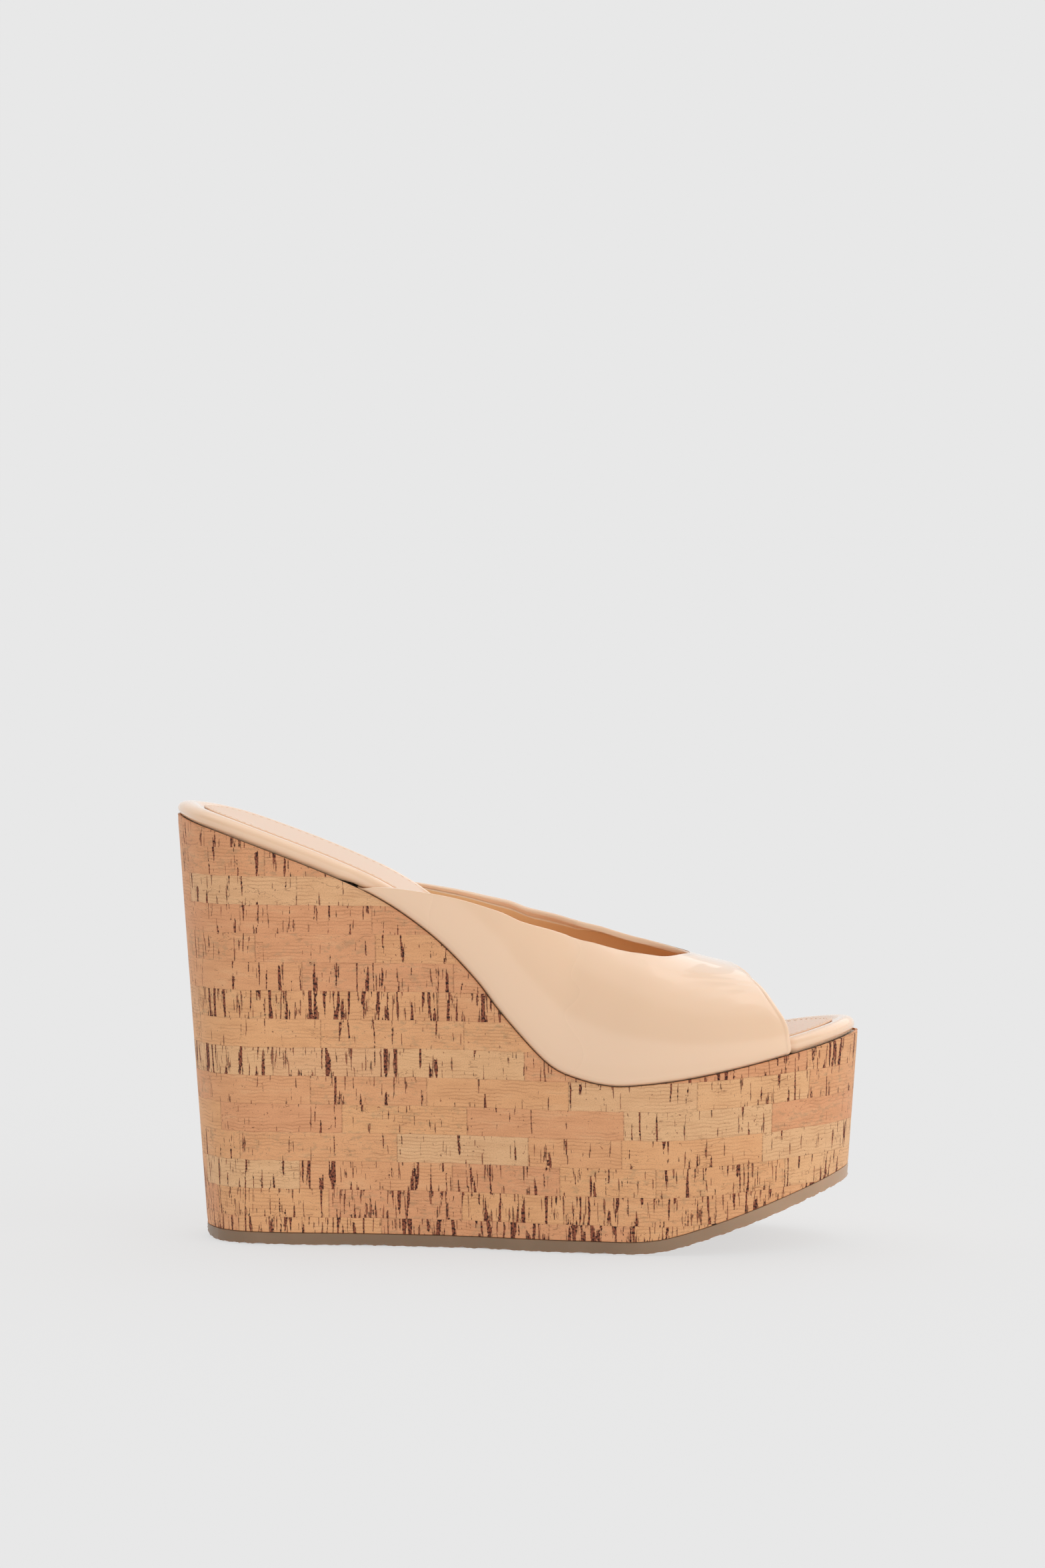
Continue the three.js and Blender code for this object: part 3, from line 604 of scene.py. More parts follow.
def twisted_thread():
    """Bonded polyester thread, twisted: silky, with fine plies."""
    material, tree = new_material("Polyester thread, twisted")
    place = add(tree, "ShaderNodeTexCoord").outputs["Object"]
    plies = add(tree, "ShaderNodeTexWave", {"Vector": place, "Scale": 2200.0},
                bands_direction="DIAGONAL")
    base = add(tree, "ShaderNodeMix", {"Factor": plies.outputs["Fac"], "A": linear("#e0b898"),
                                       "B": linear("#ecc9ab")}, data_type="RGBA")
    surface(tree, Base_Color=base.outputs["Result"], Roughness=0.5, Sheen_Weight=0.2)
    return material


def studio_table(colour, glow):
    """Opal acrylic table lit from below: even, with only faint shadows."""
    material, tree = new_material("Opal acrylic, back lit")
    place = add(tree, "ShaderNodeTexCoord").outputs["Object"]
    tooth = add(tree, "ShaderNodeTexNoise", {"Vector": place, "Scale": 900.0})
    bump = add(tree, "ShaderNodeBump", {"Height": tooth.outputs["Fac"], "Strength": 0.05,
                                        "Distance": 0.00005})
    surface(tree, Base_Color=colour, Roughness=1.0, Normal=bump.outputs[0],
            Specular_IOR_Level=0.0, Emission_Color=(1, 1, 1, 1), Emission_Strength=glow)
    return material


# ------------------------------------------------------------------ shapes of the pieces


def wall_point(stop, z):
    """Point of the leaning side wall at height z, and moved inwards by an inset."""
    x, y, in_x, in_y, inset = stop
    taper = WALL_TAPER + END_TAPER * np.abs(in_x)
    move = inset + taper * (footbed(x) - z)
    return np.stack([x + in_x * move, y + in_y * move, z + 0 * x], -1)


def shape_cork_wrap(sizes):
    """Strip of cork round the wedge, butted at the heel back, with softened cut edges."""
    slit = 0.175 / PERIMETER
    x, y, in_x, in_y, along = outline_stops(760, slit, 1 - slit)
    thick = sizes.cork_thickness / MM
    rise = 3.2 * smoothstep(x, 150, 212)
    fray = 0.09 * (1 + wave_noise(3, along, 2.1, 5.0)) * smoothstep(x, 120, 200)
    foot_x = x + in_x * (WALL_TAPER + END_TAPER * np.abs(in_x)) * (footbed(x) - 6)
    low = sole_top(foot_x) + 0.12
    high = footbed(x) + 0.4 - fray
    soft = 0.2
    rows = [(soft * (1 - math.cos(a)), soft * (1 - math.sin(a))) for a in (1.2, 0.6, 0.25)]
    section = []
    for inset, down in rows[::-1]:
        section.append((inset, low + down))
    for share in np.linspace(0.02, 0.98, 22):
        section.append((0.0, mix(low + soft, high - soft, share)))
    for inset, down in rows:
        section.append((inset, high - down))
    section.append((soft * 1.1, high))
    outer = [wall_point((x, y, in_x, in_y, inset), z) for inset, z in section]
    inner = [wall_point((x, y, in_x, in_y, thick), z) for _, z in section[::-1]]
    rings = np.stack(outer + inner, 1)
    heights = np.stack([z for _, z in section + section[::-1]], 1)
    ripple = 0.05 * wave_noise(5, along, 9.0, 17.0)[:, None]
    rings[:, :, 0] += in_x[:, None] * (0.05 + ripple)
    rings[:, :, 1] += in_y[:, None] * (0.05 + ripple)
    uv = np.stack([np.repeat(along[:, None], rings.shape[1], 1), heights - rise[:, None]], -1)
    return skin("cork_wrap_fine", rings, uv)


def shape_outsole(sizes):
    """Rubber sheet with a ragged lower edge, rolled up at the toe."""
    x, y, in_x, in_y, along = outline_stops(900)
    taper = WALL_TAPER + END_TAPER * np.abs(in_x)
    foot_x = x + in_x * taper * (footbed(x) - 3)
    top, ground = sole_top(foot_x), tread(foot_x)
    # The knife leaves shallow bites with sharp points between them.
    pace = along + 3.0 * wave_noise(11, along, 30.0, 55.0)
    bites = np.abs(np.sin(math.pi * pace / 6.3)) ** 0.6
    small = np.abs(np.sin(math.pi * pace / 2.3 + 1.0)) ** 0.7
    worn = smoothstep(wave_noise(12, along, 40.0), -0.4, 0.6)
    depth = sizes.edge_bite / MM * (0.35 + 0.65 * worn)
    lift = depth * (0.75 * (1 - bites) + 0.35 * (1 - small))
    lip = 0.28 * (1 - bites)
    side = [(0.25, top), (0.0, top - 0.25)]
    side += [(0.0, mix(top - 0.4, ground + 1.2, s)) for s in np.linspace(0, 1, 7)]
    side += [(-0.4 * lip, ground + 0.75 + lift * 0.4), (-lip, ground + 0.3 + lift * 0.9),
             (-0.3 * lip, ground + 0.12 + lift), (0.45, ground + 0.1 + lift * 0.8),
             (1.4, ground + 0.05 + lift * 0.1)]
    rings = [wall_point((x, y, in_x, in_y, inset), z) for inset, z in side]
    spine_x = np.clip(x, 26, 190)
    spine_y = (side_y(-1, spine_x) + side_y(1, spine_x)) / 2
    edge = rings[-1]

    def inner_ring(from_ring, share, height, shift):
        px = mix(from_ring[:, 0], spine_x, share)
        py = mix(from_ring[:, 1], spine_y, share)
        return np.stack([px, py, height(px) + shift], -1)

    under = [inner_ring(edge, s, tread, 0.0) for s in (0.05, 0.15, 0.3, 0.5, 0.7, 0.9)]
    above = [inner_ring(rings[0], s, sole_top, 0.0) for s in (0.9, 0.6, 0.3, 0.1)]
    return skin("outsole_fine", np.stack(above + rings + under), end_turn=NESTED_END_TURN)


def groove_tree():
    """Cuts a row of straight grooves across the tread, by repeated bars."""
    tree = bpy.data.node_groups.new("Tread grooves", "GeometryNodeTree")
    for name, kind, way in (("Sole", "NodeSocketGeometry", "INPUT"),
                            ("Bars", "NodeSocketObject", "INPUT"),
                            ("Width", "NodeSocketFloat", "INPUT"),
                            ("Depth", "NodeSocketFloat", "INPUT"),
                            ("Rubber", "NodeSocketMaterial", "INPUT"),
                            ("Sole", "NodeSocketGeometry", "OUTPUT")):
        tree.interface.new_socket(name, in_out=way, socket_type=kind)
    given = add(tree, "NodeGroupInput").outputs
    spots = add(tree, "GeometryNodeObjectInfo", {"Object": given["Bars"]}).outputs["Geometry"]
    reach = add(tree, "GeometryNodeInputNamedAttribute", {"Name": "reach"},
                data_type="FLOAT").outputs[0]
    size = add(tree, "ShaderNodeCombineXYZ", {0: given["Width"], 1: reach, 2: given["Depth"]})
    bar = add(tree, "GeometryNodeMeshCube", {"Size": (1.0, 1.0, 2.0)}).outputs["Mesh"]
    bars = add(tree, "GeometryNodeInstanceOnPoints",
               {"Points": spots, "Instance": bar, "Scale": size.outputs[0]})
    solid = add(tree, "GeometryNodeRealizeInstances", {0: bars.outputs[0]})
    carved = add(tree, "GeometryNodeMeshBoolean", {"Mesh 1": given["Sole"],
                                                   "Mesh 2": solid.outputs[0]},
                 operation="DIFFERENCE")
    whole = add(tree, "GeometryNodeRealizeInstances", {0: carved.outputs[0]})
    dressed = add(tree, "GeometryNodeSetMaterial", {"Geometry": whole.outputs[0],
                                                    "Material": given["Rubber"]})
    add(tree, "NodeGroupOutput", {0: dressed.outputs[0]})
    return tree


def stitch_tree():
    """Sets one short thread bar on every point of a stitch line, turned along it."""
    tree = bpy.data.node_groups.new("Stitch row", "GeometryNodeTree")
    for name, kind, way in (("Line", "NodeSocketGeometry", "INPUT"),
                            ("Stitch length", "NodeSocketFloat", "INPUT"),
                            ("Thread radius", "NodeSocketFloat", "INPUT"),
                            ("Pitch", "NodeSocketFloat", "INPUT"),
                            ("Thread", "NodeSocketMaterial", "INPUT"),
                            ("Stitches", "NodeSocketGeometry", "OUTPUT")):
        tree.interface.new_socket(name, in_out=way, socket_type=kind)
    given = add(tree, "NodeGroupInput").outputs
    curve = add(tree, "GeometryNodeMeshToCurve", {"Mesh": given["Line"]})
    points = add(tree, "GeometryNodeCurveToPoints",
                 {"Curve": curve.outputs[0], "Length": given["Pitch"]}, mode="LENGTH")
    bar = add(tree, "GeometryNodeMeshUVSphere", {"Segments": 8, "Rings": 6, "Radius": 1.0})
    size = add(tree, "ShaderNodeCombineXYZ", {0: given["Thread radius"],
                                              1: given["Thread radius"],
                                              2: given["Stitch length"]})
    along = add(tree, "FunctionNodeAlignEulerToVector", {"Vector": points.outputs["Tangent"]},
                axis="Z")
    bars = add(tree, "GeometryNodeInstanceOnPoints",
               {"Points": points.outputs["Points"], "Instance": bar.outputs["Mesh"],
                "Rotation": along.outputs[0], "Scale": size.outputs[0]})
    solid = add(tree, "GeometryNodeRealizeInstances", {0: bars.outputs[0]})
    smooth = add(tree, "GeometryNodeSetShadeSmooth", {0: solid.outputs[0]})
    dressed = add(tree, "GeometryNodeSetMaterial", {"Geometry": smooth.outputs[0],
                                                    "Material": given["Thread"]})
    add(tree, "NodeGroupOutput", {0: dressed.outputs[0]})
    return tree


def grow(piece, tree, values):
    """Runs a Geometry Nodes tree on a piece with named inputs, and keeps the result as a mesh."""
    modifier = piece.modifiers.new(tree.name, "NODES")
    modifier.node_group = tree
    sockets = {item.name: item.identifier for item in tree.interface.items_tree
               if item.in_out == "INPUT"}
    for name, value in values.items():
        modifier[sockets[name]] = value
    graph = bpy.context.evaluated_depsgraph_get()
    made = bpy.data.meshes.new_from_object(piece.evaluated_get(graph), depsgraph=graph)
    piece.modifiers.remove(modifier)
    old = piece.data
    piece.data = made
    bpy.data.meshes.remove(old)
    if not len(made.polygons):
        raise RuntimeError(f"{tree.name} made nothing for {piece.name}")
    return piece


def shape_insole_wrap():
    """Leather wrapped over the padded bead round the insole and turned under it."""
    x, y, in_x, in_y, _ = outline_stops(640)
    toe_start = np.where(y < 0, WRAP_FREE_X, WRAP_FREE_X - TOE_SETBACK)
    covered = smoothstep(x, 52, 58) * (1 - smoothstep(x - toe_start, 0, 2))
    overhang = HEEL_OVERHANG * np.maximum(in_x, 0) ** 2
    reach = mix(3.2, 2.45, covered) + overhang
    drop = mix(ROLL_HEIGHT - 0.15, 1.83, covered)
    one = np.ones_like(x)
    path = [(FLANGE_INSET * one, 0.97 * one), (8 * one, 0.97 * one), (5.4 * one, 0.97 * one)]
    for degrees in np.linspace(90, 0, 11):
        a = math.radians(degrees)
        path.append((ROLL_INSET - reach * math.cos(a), ROLL_HEIGHT - drop * math.sin(a)))
    for degrees in np.linspace(-9, -90, 10):
        a = math.radians(degrees)
        path.append((ROLL_INSET - reach * math.cos(a),
                     ROLL_HEIGHT - (ROLL_CREST - ROLL_HEIGHT) * math.sin(a)))
    for inset, height in ((4.3, 5.47), (4.9, 5.35), (5.5, 5.12), (6.0, 4.88), (6.5, 4.72),
                          (7.2, 4.7), (9.6, 4.7), (FLANGE_INSET, 4.7), (FLANGE_INSET, 4.02),
                          (9.6, 4.02)):
        path.append((inset * one, height * one))
    for degrees in np.linspace(-90, 90, 13):
        a = math.radians(degrees)
        rise = 4.02 - ROLL_HEIGHT if degrees < 0 else ROLL_HEIGHT - 1.45
        path.append((ROLL_INSET * one - 1.8 * math.cos(a), ROLL_HEIGHT * one - rise * math.sin(a)))
    path.append((8 * one, 1.45 * one))
    path.append((FLANGE_INSET * one, 1.45 * one))
    rings = np.stack([edge_point(x, y, in_x, in_y, inset, height) for inset, height in path], 1)
    return skin("insole_wrap_fine", rings, looped=True)


def sheet_over_footbed(name, inset, levels, spine=(30, 186)):
    """Thin sheet over the footbed, from nested rings: pairs of a share inwards and a height."""
    x, y, in_x, in_y, _ = outline_stops(560)
    edge_x, edge_y = x + in_x * inset, y + in_y * inset
    spine_x = np.clip(edge_x, *spine)
    spine_y = (side_y(-1, spine_x) + side_y(1, spine_x)) / 2
    reach = np.hypot(edge_x - spine_x, edge_y - spine_y)
    rings = []
    for step, height in levels:
        share = np.clip(step / reach, 0, 0.94) if step < 15 else step / 100 + 0 * reach
        rings.append(over_footbed(mix(edge_x, spine_x, share), mix(edge_y, spine_y, share),
                                  height))
    rings = np.stack(rings)
    return skin(name, rings, np.stack([rings[..., 0], rings[..., 1]], -1),
                end_turn=NESTED_END_TURN)


def shape_sock():
    """Sock of thin leather laid on the foam, with a skived edge."""
    low, high = SOCK_LOW, SOCK_TOP
    return sheet_over_footbed("sock_lining_fine", SOCK_INSET, [
        (90, low), (60, low), (30, low), (0.25, low), (0.02, low + 0.18), (0.0, low + 0.34),
        (0.1, high - 0.12), (0.35, high - 0.02), (0.8, high), (1.6, high), (2.6, high),
        (5, high), (30, high), (60, high), (90, high)])


def shape_foam():
    """Foam under the sock: thin at its edge, and raised inside the wrapped margin."""
    low, high = FOAM_LOW, FOAM_TOP
    return sheet_over_footbed("foam_pad_fine", FOAM_INSET, [
        (90, low), (60, low), (30, low), (0.3, low), (0.05, 3.5), (0.0, 3.62), (0.12, 3.8),
        (0.5, 3.9), (3.0, 3.92), (8.2, 3.93), (9.0, 4.1), (9.7, 4.5), (11.0, high - 0.04),
        (13.0, high), (60, high), (80, high), (90, high)])


# ---- upper

COLUMN_ANGLES = np.linspace(0, 180, 121)
MARGIN_ANGLES = np.array([90, 81, 72, 62, 52, 42, 32, 21, 10])
LAYER_DEPTHS = [-0.4, 0.0, 0.8, 1.25, 1.85, 2.4]
LAYER_BOTTOMS = [0.1, 0.12, 0.45, 0.57, 0.85, 0.93]


def set_back(x, degrees):
    """The toe opening is cut further back on the inner side of the foot."""
    return x - TOE_SETBACK * smoothstep(degrees, 86, 106) * smoothstep(x, 165, 195)


def along_upper(degrees, row):
    return set_back(mix(topline(degrees), toe_edge(np.minimum(degrees, 180 - degrees)), row),
                    degrees)


def crown_point(x, degrees, depth):
    """Point of the crown at a depth below its outer surface, 0 outer side to 180 inner."""
    angle = math.radians(degrees)
    side = -1 if degrees < 90 else 1
    across = abs(math.cos(angle)) ** (2 / CROWN_SHAPE)
    up = abs(math.sin(angle)) ** (2 / CROWN_SHAPE)
    centre = over_footbed(x, (side_y(-1, x) + side_y(1, x)) / 2, ROLL_HEIGHT)
    foot = edge_point(*side_station(side, x), depth - UPPER_PROUD, ROLL_HEIGHT)
    rise = crown(x) - depth - ROLL_HEIGHT
    lean = np.radians(mix(24, -10, (x - 60) / 135))
    direction = np.stack([np.sin(lean), 0 * lean, np.cos(lean)], -1)
    return mix(centre, foot, across) + direction * (rise * up)[..., None]


def column_point(column, row, depth):
    """Point of the upper in one column, for arrays of rows and depths."""
    edge_count = 1 + len(MARGIN_ANGLES)
    last = 2 * edge_count + len(COLUMN_ANGLES) - 1
    side = -1 if column < edge_count else 1
    turn = column if column < edge_count else last - column
    if turn >= edge_count:
        degrees = COLUMN_ANGLES[column - edge_count]
        return crown_point(along_upper(degrees, row), degrees, depth)
    bottom = np.interp(depth, LAYER_DEPTHS, LAYER_BOTTOMS)
    margin_x = set_back(mix(TOPLINE_TAIL_X, float(toe_edge(0)), row), 0 if side < 0 else 180)
    crown_x = along_upper(0 if side < 0 else 180, row)
    if turn == 0:
        return edge_point(*side_station(side, margin_x), MARGIN_INSET, bottom)
    degrees = MARGIN_ANGLES[turn - 1]
    angle = math.radians(degrees)
    inset = ROLL_INSET - (ROLL_INSET + UPPER_PROUD - depth) * math.cos(angle)
    height = ROLL_HEIGHT - (ROLL_HEIGHT - bottom) * math.sin(angle)
    return edge_point(*side_station(side, mix(crown_x, margin_x, degrees / 90)), inset, height)


COLUMNS = 2 * (1 + len(MARGIN_ANGLES)) + len(COLUMN_ANGLES)


def shape_upper(name, section, relief=None):
    """One layer of the upper. Its section runs round in a plane along the foot: for each
    point, which edge it is measured from, the distance from that edge in mm, and the depth."""
    rings, uvs = [], []
    probe = np.linspace(0, 1, 400)
    across = 0.0
    before = None
    for column in range(COLUMNS):
        line = column_point(column, probe, np.zeros(400))
        length = np.r_[0, np.cumsum(np.linalg.norm(np.diff(line, axis=0), axis=1))]
        total = length[-1]
        away = np.array([s if end == 0 else total - s if end == 1 else s * total
                         for end, s, _ in section])
        depth = np.array([d for _, _, d in section], float)
        row = np.interp(away, length, probe)
        if before is not None:
            across += np.linalg.norm(line[200] - before)
        before = line[200]
        if relief is not None:
            outer = depth <= 0.02
            depth = depth - np.where(outer, relief(away, total, column, across), 0)
        rings.append(column_point(column, row, depth))
        uvs.append(np.stack([away, np.full(len(away), across)], -1))
    return skin(name, np.stack(rings), np.stack(uvs))


def fold(end, outer, inner, reach, turn=1):
    """Half-round of a folded edge, between two depths, reaching to an edge distance."""
    radius = (inner - outer) / 2
    angles = np.linspace(-90, 90, 9) * turn
    return [(end, reach + radius * (1 - math.cos(math.radians(a))),
             outer + radius * (1 + math.sin(math.radians(a)))) for a in angles]


def outer_section(sizes):
    """Patent leather: over the whole upper, folded in over the lining at both open edges."""
    lap = sizes.fold_width / MM
    spread = np.linspace(0, 1, 96)[1:-1]
    middle = 0.5 - 0.5 * np.cos(np.pi * spread)
    body = [(2, s, 0.0) for s in middle if 0.03 < s < 0.955]
    path = [(0, lap, 1.93), (0, lap * 0.7, 1.95), (0, 1.4, 1.95)]
    path += fold(0, 0.0, 1.95, 0.0, turn=-1)
    path += [(0, 1.5, 0.0), (0, 2.3, 0.0)] + body
    path += [(1, 2.4, 0.02), (1, 2.0, 0.15), (1, 1.7, 0.02), (1, 1.4, -0.05)]
    path += fold(1, 0.0, 1.95, 0.0)
    path += [(1, 1.4, 1.95), (1, lap * 0.7, 1.95), (1, lap, 1.93)]
    path += [(1, lap + 0.18, 1.72), (1, lap, 1.52), (1, 1.4, 1.5)]
    path += fold(1, 0.8, 1.5, 0.62, turn=-1)
    path += [(1, 2.2, 0.8)]
    path += [(2, s, 0.8) for s in middle[::-1] if 0.03 < s < 0.955]
    path += [(0, 2.2, 0.8)]
    path += fold(0, 0.8, 1.5, 0.62)
    path += [(0, 1.4, 1.5), (0, lap, 1.52), (0, lap + 0.18, 1.72)]
    return path


def lining_section():
    """Lining: tucked under the folds, and back to its own depth inside them."""
    middle = np.linspace(0.05, 0.945, 60)
    path = [(0, 1.15, 1.15)] + [(0, 1.25, 0.95), (0, 3.0, 0.95), (0, 5.2, 1.25)]
    path += [(2, s, 1.25) for s in middle if s > 0.07]
    path += [(1, 5.2, 1.25), (1, 3.0, 0.95), (1, 1.25, 0.95), (1, 1.15, 1.15), (1, 1.25, 1.4),
             (1, 3.0, 1.42), (1, 5.2, 1.85)]
    path += [(2, s, 1.85) for s in middle[::-1] if s > 0.07]
    path += [(0, 5.2, 1.85), (0, 3.3, 1.66), (0, 3.0, 1.42), (0, 1.25, 1.4)]
    return path


def interlining_section():
    middle = np.linspace(0.06, 0.93, 40)
    path = [(2, s, 0.9) for s in middle] + [(2, 0.935, 1.02)]
    return path + [(2, s, 1.15) for s in middle[::-1]] + [(2, 0.055, 1.02)]


def creases(away, total, column, across):
    """Soft walking creases on the vamp, near the toe edge, and slack over the sides."""
    share = away / total
    angle = 180 * (column - 10) / 120
    top = smoothstep(angle, 20, 55) * (1 - smoothstep(angle, 125, 160))
    near = smoothstep(share, 0.35, 0.75) * (1 - smoothstep(share, 0.88, 0.97))
    wave = np.sin(2 * math.pi * (away / 15 + 0.35 * math.sin(across / 14)))
    slow = np.sin(2 * math.pi * away / 41 + across / 19)
    return 0.05 * near * top * wave + 0.06 * slow * smoothstep(share, 0.1, 0.3) * top


# ------------------------------------------------------------------ settings


def length(name, description, default, low=0.0001, high=0.1):
    return bpy.props.FloatProperty(name=name, description=description, default=default,
                                   min=low, max=high, precision=5, subtype="DISTANCE",
                                   unit="LENGTH")


def colour(name, description, default):
    return bpy.props.FloatVectorProperty(name=name, description=description, size=4,
                                         default=linear(default), min=0, max=1,
                                         subtype="COLOR")


class SandalSizes(bpy.types.PropertyGroup):
    cork_row: length("Cork row", "Height of one row of pressed cork", 0.00897)
    cork_block: length("Cork block", "Usual length of one block of cork", 0.042)
    cork_thickness: length("Cork thickness", "Thickness of the cork strip", 0.0008)
    edge_bite: length("Edge bite", "Depth of the cuts in the outsole's lower edge", 0.0009)
    groove_width: length("Groove width", "Width of one tread groove", 0.002)
    groove_depth: length("Groove depth", "Depth of one tread groove", 0.0013)
    groove_spacing: length("Groove spacing", "Distance from groove to groove", 0.008)
    fold_width: length("Fold width", "How far the upper is folded in at its open edges", 0.0027)
    stitch_length: length("Stitch length", "Length of one stitch of the sock", 0.0014)
    stitch_pitch: length("Stitch pitch", "Distance from stitch to stitch", 0.0026)
    thread: length("Thread", "Thickness of the sewing thread", 0.00028)


class SandalColours(bpy.types.PropertyGroup):
    patent: colour("Patent leather", "Body colour of the patent leather", "#f0caa8")
    patent_sheen: colour("Patent leather, pale", "Paler patches of the patent leather", "#f2d0b2")
    cork_light: colour("Cork, light", "Yellowish blocks of cork", "#e6ac7a")
    cork_pink: colour("Cork, pink", "Pinkish blocks of cork", "#e0a074")
    cork_dark: colour("Cork channels", "Breathing channels of the cork", "#92523a")
    rubber: colour("Rubber", "Outsole rubber in the waist and heel", "#866b52")
    # Paler rubber, for random patches and for the painted glow towards the toe.
    rubber_pale_and_toe_glow: colour("Rubber, pale", "Outsole rubber towards the toe", "#b8977a")
    lining: colour("Lining", "Lining leather", "#f2c894")
    lining_deep: colour("Lining, deep", "Darker parts of the lining leather", "#e6b684")
    paper: colour("Backdrop", "Plain studio backdrop", "#e8e8e8")
    table: colour("Table", "Table under the sandal, before its own light", "#7c7c7c")


# ------------------------------------------------------------------ operators


class SANDAL_OT_stage(bpy.types.Operator):
    """Sets the pale floor, the soft lights and the camera"""
    bl_idname = "sandal.stage"
    bl_label = "Studio stage"
    bl_options = {"REGISTER", "UNDO"}

    def execute(self, context):
        colours = context.scene.sandal_colours
        scene = context.scene
        scene.view_settings.view_transform = "Standard"
        scene.view_settings.look = "None"
        half = 40.0
        mesh = bpy.data.meshes.new("studio_floor")
        mesh.from_pydata([(-half, -half, -0.0002), (half, -half, -0.0002),
                          (half, half, -0.0002), (-half, half, -0.0002)], [], [(0, 1, 2, 3)])
        floor = bpy.data.objects.new("studio_floor", mesh)
        scene.collection.objects.link(floor)
        mesh.materials.append(studio_table(colours.table, 0.609))
        self.light_room(scene, colours)
        self.place_camera(scene)
        return {"FINISHED"}

    def light_room(self, scene, colours):
        world = bpy.data.worlds.new("Soft studio")
        scene.world = world
        world.use_nodes = True
        tree = world.node_tree
        tree.nodes.clear()
        # Tent of cloth: bright overhead and low in front, even behind, dim higher up in front.
        facing = add(tree, "ShaderNodeSeparateXYZ",
                     {0: add(tree, "ShaderNodeTexCoord").outputs["Generated"]})
        behind = add(tree, "ShaderNodeMapRange", {"Value": facing.outputs[1], "From Min": -0.25,
                                                  "From Max": 0.35, "To Min": 0.0,
                                                  "To Max": 1.0}, interpolation_type="SMOOTHSTEP")
        low = add(tree, "ShaderNodeMapRange", {"Value": facing.outputs[2], "From Min": 0.3,
                                               "From Max": 0.42, "To Min": 1.0, "To Max": 0.3},
                  interpolation_type="SMOOTHSTEP")
        room = add(tree, "ShaderNodeMix", {"Factor": behind.outputs[0], "A": low.outputs[0],
                                           "B": 0.92})
        top = add(tree, "ShaderNodeMapRange", {"Value": facing.outputs[2], "From Min": 0.8,
                                               "From Max": 0.95, "To Min": 0.0, "To Max": 0.5},
                  interpolation_type="SMOOTHSTEP")
        strength = add(tree, "ShaderNodeMath", {0: room.outputs[0], 1: top.outputs[0]},
                       operation="ADD").outputs[0]
        room = add(tree, "ShaderNodeBackground", {"Color": (1, 1, 1, 1), "Strength": strength})
        backdrop = add(tree, "ShaderNodeBackground", {"Color": colours.paper, "Strength": 1.0})
        seen = add(tree, "ShaderNodeLightPath").outputs["Is Camera Ray"]
        both = add(tree, "ShaderNodeMixShader",
                   {0: seen, 1: room.outputs[0], 2: backdrop.outputs[0]})
        add(tree, "ShaderNodeOutputWorld", {"Surface": both.outputs[0]})
        # Suns stand for large cloth panels that don't show in the gloss.
        for name, turn, power, spread in (("Toe side panel", (58, 0, 50), 1.0, 70),
                                          ("Back panel", (-40, 20, 0), 0.25, 90)):
            data = bpy.data.lights.new(name, "SUN")
            data.energy = power
            data.angle = math.radians(spread)
            sun = bpy.data.objects.new(name, data)
            sun.rotation_euler = [math.radians(angle) for angle in turn]
            sun.visible_glossy = False
            scene.collection.objects.link(sun)
        # Ceiling panel over the toe, which shows only in the gloss of the leather.
        data = bpy.data.lights.new("Ceiling panel", "AREA")
        data.shape = "RECTANGLE"
        data.size, data.size_y = 1.6, 2.5
        data.energy = 6.0
        box = bpy.data.objects.new("Ceiling panel", data)
        box.location = (1.15, 1.35, 1.1)
        box.visible_diffuse = False
        box.visible_camera = False
        scene.collection.objects.link(box)

    def place_camera(self, scene):
        data = bpy.data.cameras.new("Camera")
        data.sensor_fit = "AUTO"
        data.sensor_width = 36.0
        data.lens = 108.76
        data.clip_start, data.clip_end = 0.05, 100.0
        camera = bpy.data.objects.new("Camera", data)
        place = Vector((0.0721, -1.4949, 0.23048))
        aim = Vector((0.00156, 0.00095, 0.14414))
        camera.location = place
        camera.rotation_euler = (aim - place).to_track_quat("-Z", "Y").to_euler()
        scene.collection.objects.link(camera)
        scene.camera = camera


class SANDAL_OT_outsole(bpy.types.Operator):
    """Builds the rubber outsole with its ragged edge and tread grooves"""
    bl_idname = "sandal.outsole"
    bl_label = "Outsole"
    bl_options = {"REGISTER", "UNDO"}

    def execute(self, context):
        sizes, colours = context.scene.sandal_sizes, context.scene.sandal_colours
        rubber = crepe_rubber(colours.rubber, colours.rubber_pale_and_toe_glow)
        sole = shape_outsole(sizes)
        spacing = sizes.groove_spacing / MM
        spots = [24 + spacing * k for k in range(5)] + [112 + spacing * k for k in range(10)]
        places, reach = [], []
        for x in spots:
            right, left = side_y(-1, x) + GROOVE_BORDER, side_y(1, x) - GROOVE_BORDER
            places.append((np.array([x, (right + left) / 2, tread(x)]) + HEEL_BACK) * MM)
            reach.append((left - right) * MM)
        mesh = bpy.data.meshes.new("groove_spots")
        mesh.from_pydata([tuple(p) for p in places], [], [])
        mesh.attributes.new("reach", "FLOAT", "POINT").data.foreach_set("value", reach)
        bars = bpy.data.objects.new("groove_spots", mesh)
        bpy.context.scene.collection.objects.link(bars)
        grow(sole, groove_tree(), {"Bars": bars, "Width": sizes.groove_width,
                                         "Depth": sizes.groove_depth, "Rubber": rubber})
        bpy.data.objects.remove(bars)
        settle(sole, rubber, "outsole_rubber", "outsole")
        return {"FINISHED"}


